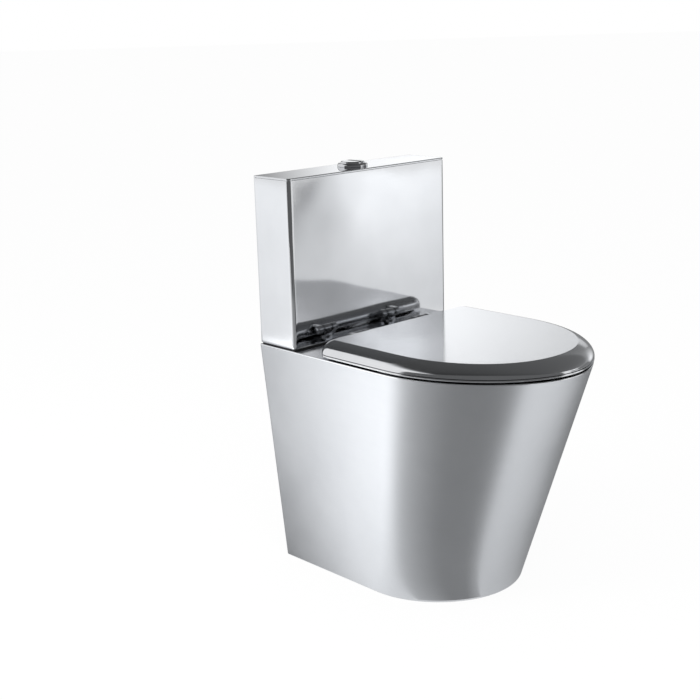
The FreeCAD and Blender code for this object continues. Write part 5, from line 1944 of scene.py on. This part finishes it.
@dataclass
class PushButtons:
    """Round bezel on the cistern top, two button segments and their springs."""

    middle: float = 43.75
    cover_z: float = 685.5
    bezel: float = 26.0
    bezel_top: float = 691.5
    bezel_skirt: float = 1.6
    bezel_round: float = 3.4
    bezel_angles: tuple[float, ...] = (0.2, 0.45, 0.75, 1.05, 1.35, 1.57)
    edge: float = 0.4
    bore_round: tuple[Point, ...] = ((0.9, 0.0), (0.3, 0.25), (0.0, 0.9))
    bore: float = 20.5
    sleeve: float = 22.2
    sleeve_low: float = 660.0
    floor_top: float = 663.0
    guide: float = 3.05
    radius: float = 20.2
    under: float = 684.5
    top: float = 694.5
    splits: Point = (4.2, 4.8)
    rods: Point = (-8.0, 12.5)
    spring: float = 4.6
    wire: float = 0.5
    turns: float = 5.0
    travel: float = 8.3

    def collar(self) -> Piece:
        """Collar with a rounded shoulder, a sleeve through the cover and a floor that guides the rods.

        Returns:
            The piece.
        """
        z, top, bend = self.cover_z, self.bezel_top, self.bezel_round
        skirt, rise = z + self.bezel_skirt, top - z - self.bezel_skirt
        section = [(self.bezel - self.edge, z), (self.bezel, z + self.edge), (self.bezel, skirt)]
        section += [(self.bezel - bend + bend * math.cos(a), skirt + rise * math.sin(a))
                    for a in self.bezel_angles]
        section += [(self.bore + out, top - down) for out, down in self.bore_round]
        section += [(self.bore, self.floor_top), (self.bore, self.sleeve_low),
                    (self.sleeve - self.edge, self.sleeve_low), (self.sleeve, self.sleeve_low + self.edge),
                    (self.sleeve, z)]
        form = Form()
        form.turn(section, (0, self.middle), Axis.UP, Sides.COLLAR)
        form.prism(circle((0, self.middle), self.bore, Sides.COLLAR), self.sleeve_low, self.floor_top,
                   holes=[circle((x, self.middle), self.guide, Sides.ROD) for x in self.rods])
        return form.piece("button_collar")

    def segment(self, name: str, side: int) -> Piece:
        """One segment of the round button.

        Args:
            name: Name of the piece.
            side: -1 for the large segment, 1 for the small one.

        Returns:
            The segment, with softly rounded edges.
        """
        cut = self.splits[0] if side < 0 else self.splits[1]
        angle = math.degrees(math.acos(cut / self.radius))
        ends = (angle, 360 - angle) if side < 0 else (-angle, angle)
        outline = arc((0, self.middle), self.radius, *ends, steps=40)
        form = Form()
        form.prism(outline, self.under, self.top, low_round=0.3, high_round=(2.4, 1.5), ease=1.2)
        return form.piece(name)

    def springs(self) -> None:
        """Return springs round the push rods."""
        tree = SpringTree()
        for label, x in zip(("full", "half"), self.rods):
            name = label + "_button_spring"
            obj = linked(label + "_return_spring", bpy.data.meshes.new(name))
            low = self.floor_top + self.wire
            tree.run(obj, {"Turns": self.turns, "Radius": self.spring * MM, "Wire": self.wire * MM,
                           "Height": (self.under - self.wire - low) * MM, "Foot": place(x, self.middle, low),
                           "Finish": Slot.FASTENER.material()}, THREAD_ANGLE)
            hand_in(obj, "pan", Slot.FASTENER, name)
            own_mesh(obj)

    def build(self) -> None:
        """Make and dress the buttons."""
        hand_in(self.collar(), "pan", Slot.CHROME, "button_bezel")
        hand_in(self.segment("full_flush_segment", -1), "full_button", Slot.CHROME, "full_flush_button")
        hand_in(self.segment("half_flush_segment", 1), "half_button", Slot.CHROME, "half_flush_button")
        self.springs()


def dress_inner_parts() -> None:
    """Give the solids that stay their finish: the valves in the cistern, the duct and the inlet nut."""
    slots = {slot.value.name: slot for slot in Slot}
    for part in frame["record"]["subparts"]:
        node, name = part["node"], part["material_slot"]
        obj = frame["nodes"][node]
        if obj.hide_render:
            continue
        for holder in obj.material_slots:
            holder.material = slots[name].material()
        LOG.info("%s stays, in %s", node, name)


# Studio

CARD_TONE = (0.99, 1.0, 1.01, 1)


@dataclass(frozen=True)
class Card:
    """Graduated card that only shows in the metal.

    Attributes:
        name: Name of the card.
        corners: Its four corners in metres, in order round the card.
        levels: Brightness at each corner.
        peak: Brightness added in its middle.
        steps: Faces along each edge.
    """

    name: str
    corners: Sequence[Spot]
    levels: Sequence[float]
    peak: float = 0.0
    steps: int = 12

    def material(self) -> bpy.types.Material:
        """Glow that follows the card's level, the same for every card.

        Returns:
            The material.
        """
        known = bpy.data.materials.get("studio_card")
        if known:
            return known
        tree = ShaderTree("studio_card")
        grade = tree.add("ShaderNodeAttribute")
        grade.attribute_name = "level"
        return tree.close(tree.add("ShaderNodeEmission", Color=CARD_TONE, Strength=grade.outputs["Fac"]))

    def mesh(self) -> bpy.types.Mesh:
        """Grid between the corners, with the level stored at each point.

        Returns:
            The mesh.
        """
        graded = zip(self.corners, self.levels)
        first, second, third, fourth = (Vector((*corner, level)) for corner, level in graded)
        count = self.steps + 1
        shares = [i / self.steps for i in range(count)]
        spots = [first.lerp(second, u).lerp(fourth.lerp(third, u), v) for u in shares for v in shares]
        added = [self.peak * math.sin(math.pi * u) * math.sin(math.pi * v) for u in shares for v in shares]
        starts = [i * count + j for i in range(self.steps) for j in range(self.steps)]
        faces = [(k, k + count, k + count + 1, k + 1) for k in starts]
        mesh = bpy.data.meshes.new(self.name)
        mesh.from_pydata([spot.xyz for spot in spots], [], faces)
        levels = mesh.attributes.new("level", "FLOAT", "POINT")
        levels.data.foreach_set("value", [spot.w + more for spot, more in zip(spots, added)])
        mesh.materials.append(self.material())
        return mesh

    def build(self) -> None:
        """Stage the card where only mirrors see it."""
        obj = linked(self.name, self.mesh())
        obj.visible_camera = False
        obj.visible_diffuse = False
        obj.visible_shadow = False


def strip(name: str, spots: Sequence[Point], levels: Sequence[float], span: Point,
          peak: float = 0.0) -> list[Card]:
    """Upright cards, joined end to end.

    Args:
        name: Start of the cards' names.
        spots: Plan points that the strip runs through, in metres.
        levels: Brightness at each of them.
        span: Heights of its lower and upper edge.
        peak: Brightness added in the middle of each card.

    Returns:
        The cards.
    """
    low, high = span
    return [Card(f"{name}_{index}", [(*a, low), (*b, low), (*b, high), (*a, high)],
                 (near, far, far, near), peak)
            for index, ((a, near), (b, far)) in enumerate(pairwise(zip(spots, levels)))]


def fan(name: str, z: float, lines: Sequence[tuple[Point, Point, Point]]) -> list[Card]:
    """Level cards side by side between lines, each of a near end, a far end and the brightness at both."""
    return [Card(f"{name}_{index}", [(*a, z), (*b, z), (*d, z), (*c, z)], (*near, *reversed(far)))
            for index, ((a, b, near), (c, d, far)) in enumerate(pairwise(lines))]


@dataclass
class Studio:
    """Floor, soft lights, dark flags and the camera at the photograph's viewing angle."""

    camera_place: Spot = (-1.5075, -1.3703, 0.9335)
    heading: float = 43.15
    tilt: float = -14.71
    roll: float = -1.69
    lens: float = 65.24
    sensor: float = 36.0
    view_depth: float = 50.0
    floor_size: float = 120.0
    floor_drop: float = 0.0005
    floor_colour: Colour = (0.95, 0.95, 0.95)
    shadow_share: float = 0.06
    light_level: float = 0.75
    ceiling: float = 2.3
    floor_layers: tuple[float, ...] = (0.002, 0.004, 0.006)
    rear_heights: tuple[float, ...] = (0.0, 0.94, 1.52, 3.0)

    def camera(self) -> None:
        """Camera for a square frame."""
        heading, tilt, roll = (math.radians(a) for a in (self.heading, self.tilt, self.roll))
        ahead = Vector((math.sin(heading) * math.cos(tilt), math.cos(heading) * math.cos(tilt),
                        math.sin(tilt)))
        level = ahead.cross(Vector((0, 0, 1))).normalized()
        above = level.cross(ahead)
        right = level * math.cos(roll) + above * math.sin(roll)
        up = right.cross(ahead)
        data = bpy.data.cameras.new("camera")
        data.lens = self.lens
        data.sensor_width = self.sensor
        data.clip_end = self.view_depth
        obj = linked("camera", data)
        turn = Matrix((right, up, -ahead)).transposed()
        obj.matrix_world = Matrix.Translation(self.camera_place) @ turn.to_4x4()
        bpy.context.scene.camera = obj

    def floor(self) -> None:
        """Pale floor, white to the eye apart from the object's shadow."""
        tree = ShaderTree("studio_floor")
        matt = tree.add("ShaderNodeBsdfDiffuse", Color=(*self.floor_colour, 1))
        white = tree.add("ShaderNodeEmission", Color=(1, 1, 1, 1), Strength=1.0)
        share = tree.work_out("MULTIPLY", tree.seen_directly(), 1 - self.shadow_share)
        mix = tree.add("ShaderNodeMixShader", Fac=share)
        tree.feed(matt.outputs[0], mix.inputs[1])
        tree.feed(white.outputs[0], mix.inputs[2])
        mesh = bpy.data.meshes.new("studio_floor")
        half = self.floor_size / 2
        mesh.from_pydata([(x, y, 0) for x, y in box((-half, -half), (half, half))], [], [(0, 1, 2, 3)])
        mesh.materials.append(tree.close(mix))
        obj = linked("studio_floor", mesh)
        obj.location.z = -self.floor_drop

    def world(self) -> None:
        """White surround for the eye and for mirrors, and a plain level of light."""
        world = bpy.data.worlds.new("studio_world")
        world.use_nodes = True
        world.node_tree.nodes.clear()
        nodes = Nodes(world.node_tree)
        mix = nodes.add("ShaderNodeMixShader", Fac=nodes.seen_directly())
        for index, strength in ((1, self.light_level), (2, 1.0)):
            surround = nodes.add("ShaderNodeBackground", Color=(1, 1, 1, 1), Strength=strength)
            nodes.feed(surround.outputs[0], mix.inputs[index])
        nodes.add("ShaderNodeOutputWorld", Surface=mix.outputs[0])
        bpy.context.scene.world = world

    def softbox(self, name: str, spot: Spot, aim: Spot, size: Point, watts: float) -> None:
        """Rectangular soft light.

        Args:
            name: Name of the light.
            spot: Its place in metres.
            aim: Point that it faces.
            size: Width and height in metres.
            watts: Power.
        """
        data = bpy.data.lights.new(name, "AREA")
        data.shape = "RECTANGLE"
        data.size, data.size_y = size
        data.energy = watts
        obj = linked(name, data)
        way = Vector(aim) - Vector(spot)
        obj.matrix_world = Matrix.Translation(spot) @ way.to_track_quat("-Z", "Y").to_matrix().to_4x4()
        obj.visible_camera = False
        obj.visible_glossy = False

    def cards(self) -> list[Card]:
        """Light and dark cards whose images make the bands in the metal.

        Returns:
            The cards.
        """
        low, middle, high = self.floor_layers
        foot, sill, head, top = self.rear_heights
        rear = ((1.0, 3.6), (1.85, 2.81), (2.14, 2.54), (2.48, 2.23), (2.85, 1.89), (3.9, 1.4))
        cards = strip("rear_panel", rear, (0.2, 0.25, 1.1, 1.24, 0.88, 0.6), (sill, head))
        cards += strip("rear_flag", rear, (0.06, 0.08, 0.09, 0.1, 0.14, 0.25), (head, top))
        cards += strip("rear_skirt", rear, (0.3, 0.3, 0.28, 0.28, 0.25, 0.25), (foot, sill))
        cards += strip("tip_glow", ((3.9, 1.4), (6.6, -0.8)), (0.25, 0.22), (0.0, 2.32), 0.9)
        cards += strip("right_screen", ((6.6, -0.8), (5.6, -4.2)), (0.22, 0.2), (0.0, 2.32))
        cards += strip("grey_screen", ((5.6, -4.2), (4.2, -5.6)), (0.48, 0.48), (0.2, 2.1))
        cards += strip("lid_glow", ((5.34, -4.46), (5.22, -4.58), (4.98, -4.82), (4.81, -4.99), (4.6, -5.2)),
                       (0.9, 1.3, 1.85, 0.7, 0.4), (2.1, 2.6))
        cards += strip("dark_wall", ((-3.4, 1.4), (-3.4, 0.4), (0.4, -3.4), (1.5, -3.4)),
                       (0.12, 0.12, 0.14, 0.14), (0.0, 2.5))
        cards += fan("ceiling", self.ceiling, [((-0.6, -4.2), (7.0, -3.0), (0.05, 0.35)),
                                               ((-3.2, -0.3), (2.0, 2.6), (0.03, 0.08)),
                                               ((-3.4, 0.15), (1.7, 3.05), (1.1, 1.1))])
        cards += fan("ceiling_side", self.ceiling, [((2.0, 2.6), (7.0, -3.0), (0.08, 0.35)),
                                                    ((4.0, 4.5), (8.5, 0.0), (1.0, 1.0))])
        cards += fan("left_floor", low, [((-0.125, -0.045), (-1.3, 0.56), (1.0, 2.8)),
                                         ((-0.12, 0.011), (-1.3, 1.169), (1.1, 3.7)),
                                         ((-0.12, 0.219), (-1.3, 1.682), (0.32, 0.85)),
                                         ((-0.12, 0.6), (-1.3, 2.4), (0.15, 0.3))])
        cards += fan("right_floor", low, [((-0.044, -0.095), (-0.5, -1.6), (0.85, 1.9)),
                                          ((-0.015, -0.105), (0.28, -1.5), (0.76, 1.7)),
                                          ((0.055, -0.095), (1.2, -0.62), (0.4, 0.44)),
                                          ((0.13, 0.0), (1.6, 0.3), (0.22, 0.2)),
                                          ((0.13, 0.25), (2.2, 2.2), (0.15, 0.15))])
        cards += fan("far_floor", low, [((1.2, -0.62), (5.2, -3.0), (0.25, 0.25)),
                                        ((1.6, 0.3), (6.2, 0.2), (0.22, 0.22)),
                                        ((2.2, 2.2), (3.8, 1.4), (0.25, 0.25))])
        cards += fan("cistern_floor", low, [((1.07, -1.46), (3.52, -4.21), (0.82, 0.2)),
                                            ((1.38, -1.17), (3.96, -3.84), (0.88, 1.55)),
                                            ((1.66, -0.9), (4.4, -3.4), (0.85, 1.2))])
        cards += fan("side_floor", middle, [((-1.5, 1.2), (-4.0, 4.0), (1.3, 1.3)),
                                            ((-1.0, 1.8), (-3.2, 4.9), (0.8, 1.15))])
        cards += fan("dark_floor", middle, [((-0.125, -0.045), (-3.0, 1.43), (0.75, 0.75)),
                                            ((-0.078, -0.085), (-3.0, -0.93), (0.33, 0.33)),
                                            ((-0.062, -0.088), (-1.5, -3.0), (0.33, 0.33)),
                                            ((-0.044, -0.095), (-0.85, -3.0), (0.6, 0.6))])
        cards += fan("dark_front", high, [((-0.55, -1.4), (-1.15, -3.0), (0.2, 0.2)),
                                          ((0.55, -1.5), (1.0, -3.3), (0.2, 0.2))])
        return cards

    def build(self) -> None:
        """Set up the studio."""
        bpy.context.scene.view_settings.view_transform = "Standard"
        self.camera()
        self.floor()
        self.world()
        self.softbox("key_light", spot=(-1.6, -2.0, 2.6), aim=(0, 0, 0.35), size=(1.6, 1.6), watts=40)
        self.softbox("left_light", spot=(-2.2, 1.0, 1.2), aim=(0, 0, 0.4), size=(1.4, 2.2), watts=40)
        for card in self.cards():
            card.build()


def main() -> None:
    """Build the suite piece by piece, then the studio."""
    repeat = RepeatTree()
    pan = Pan()
    pan.build()
    WasteWay().build(pan, repeat)
    SeatAndLid().build(repeat)
    Hinges().build(repeat)
    Cistern().build(repeat)
    PushButtons().build()
    dress_inner_parts()
    Studio().build()


if __name__ == "__main__":
    logging.basicConfig(level=logging.INFO, format="%(name)s: %(message)s")
    main()
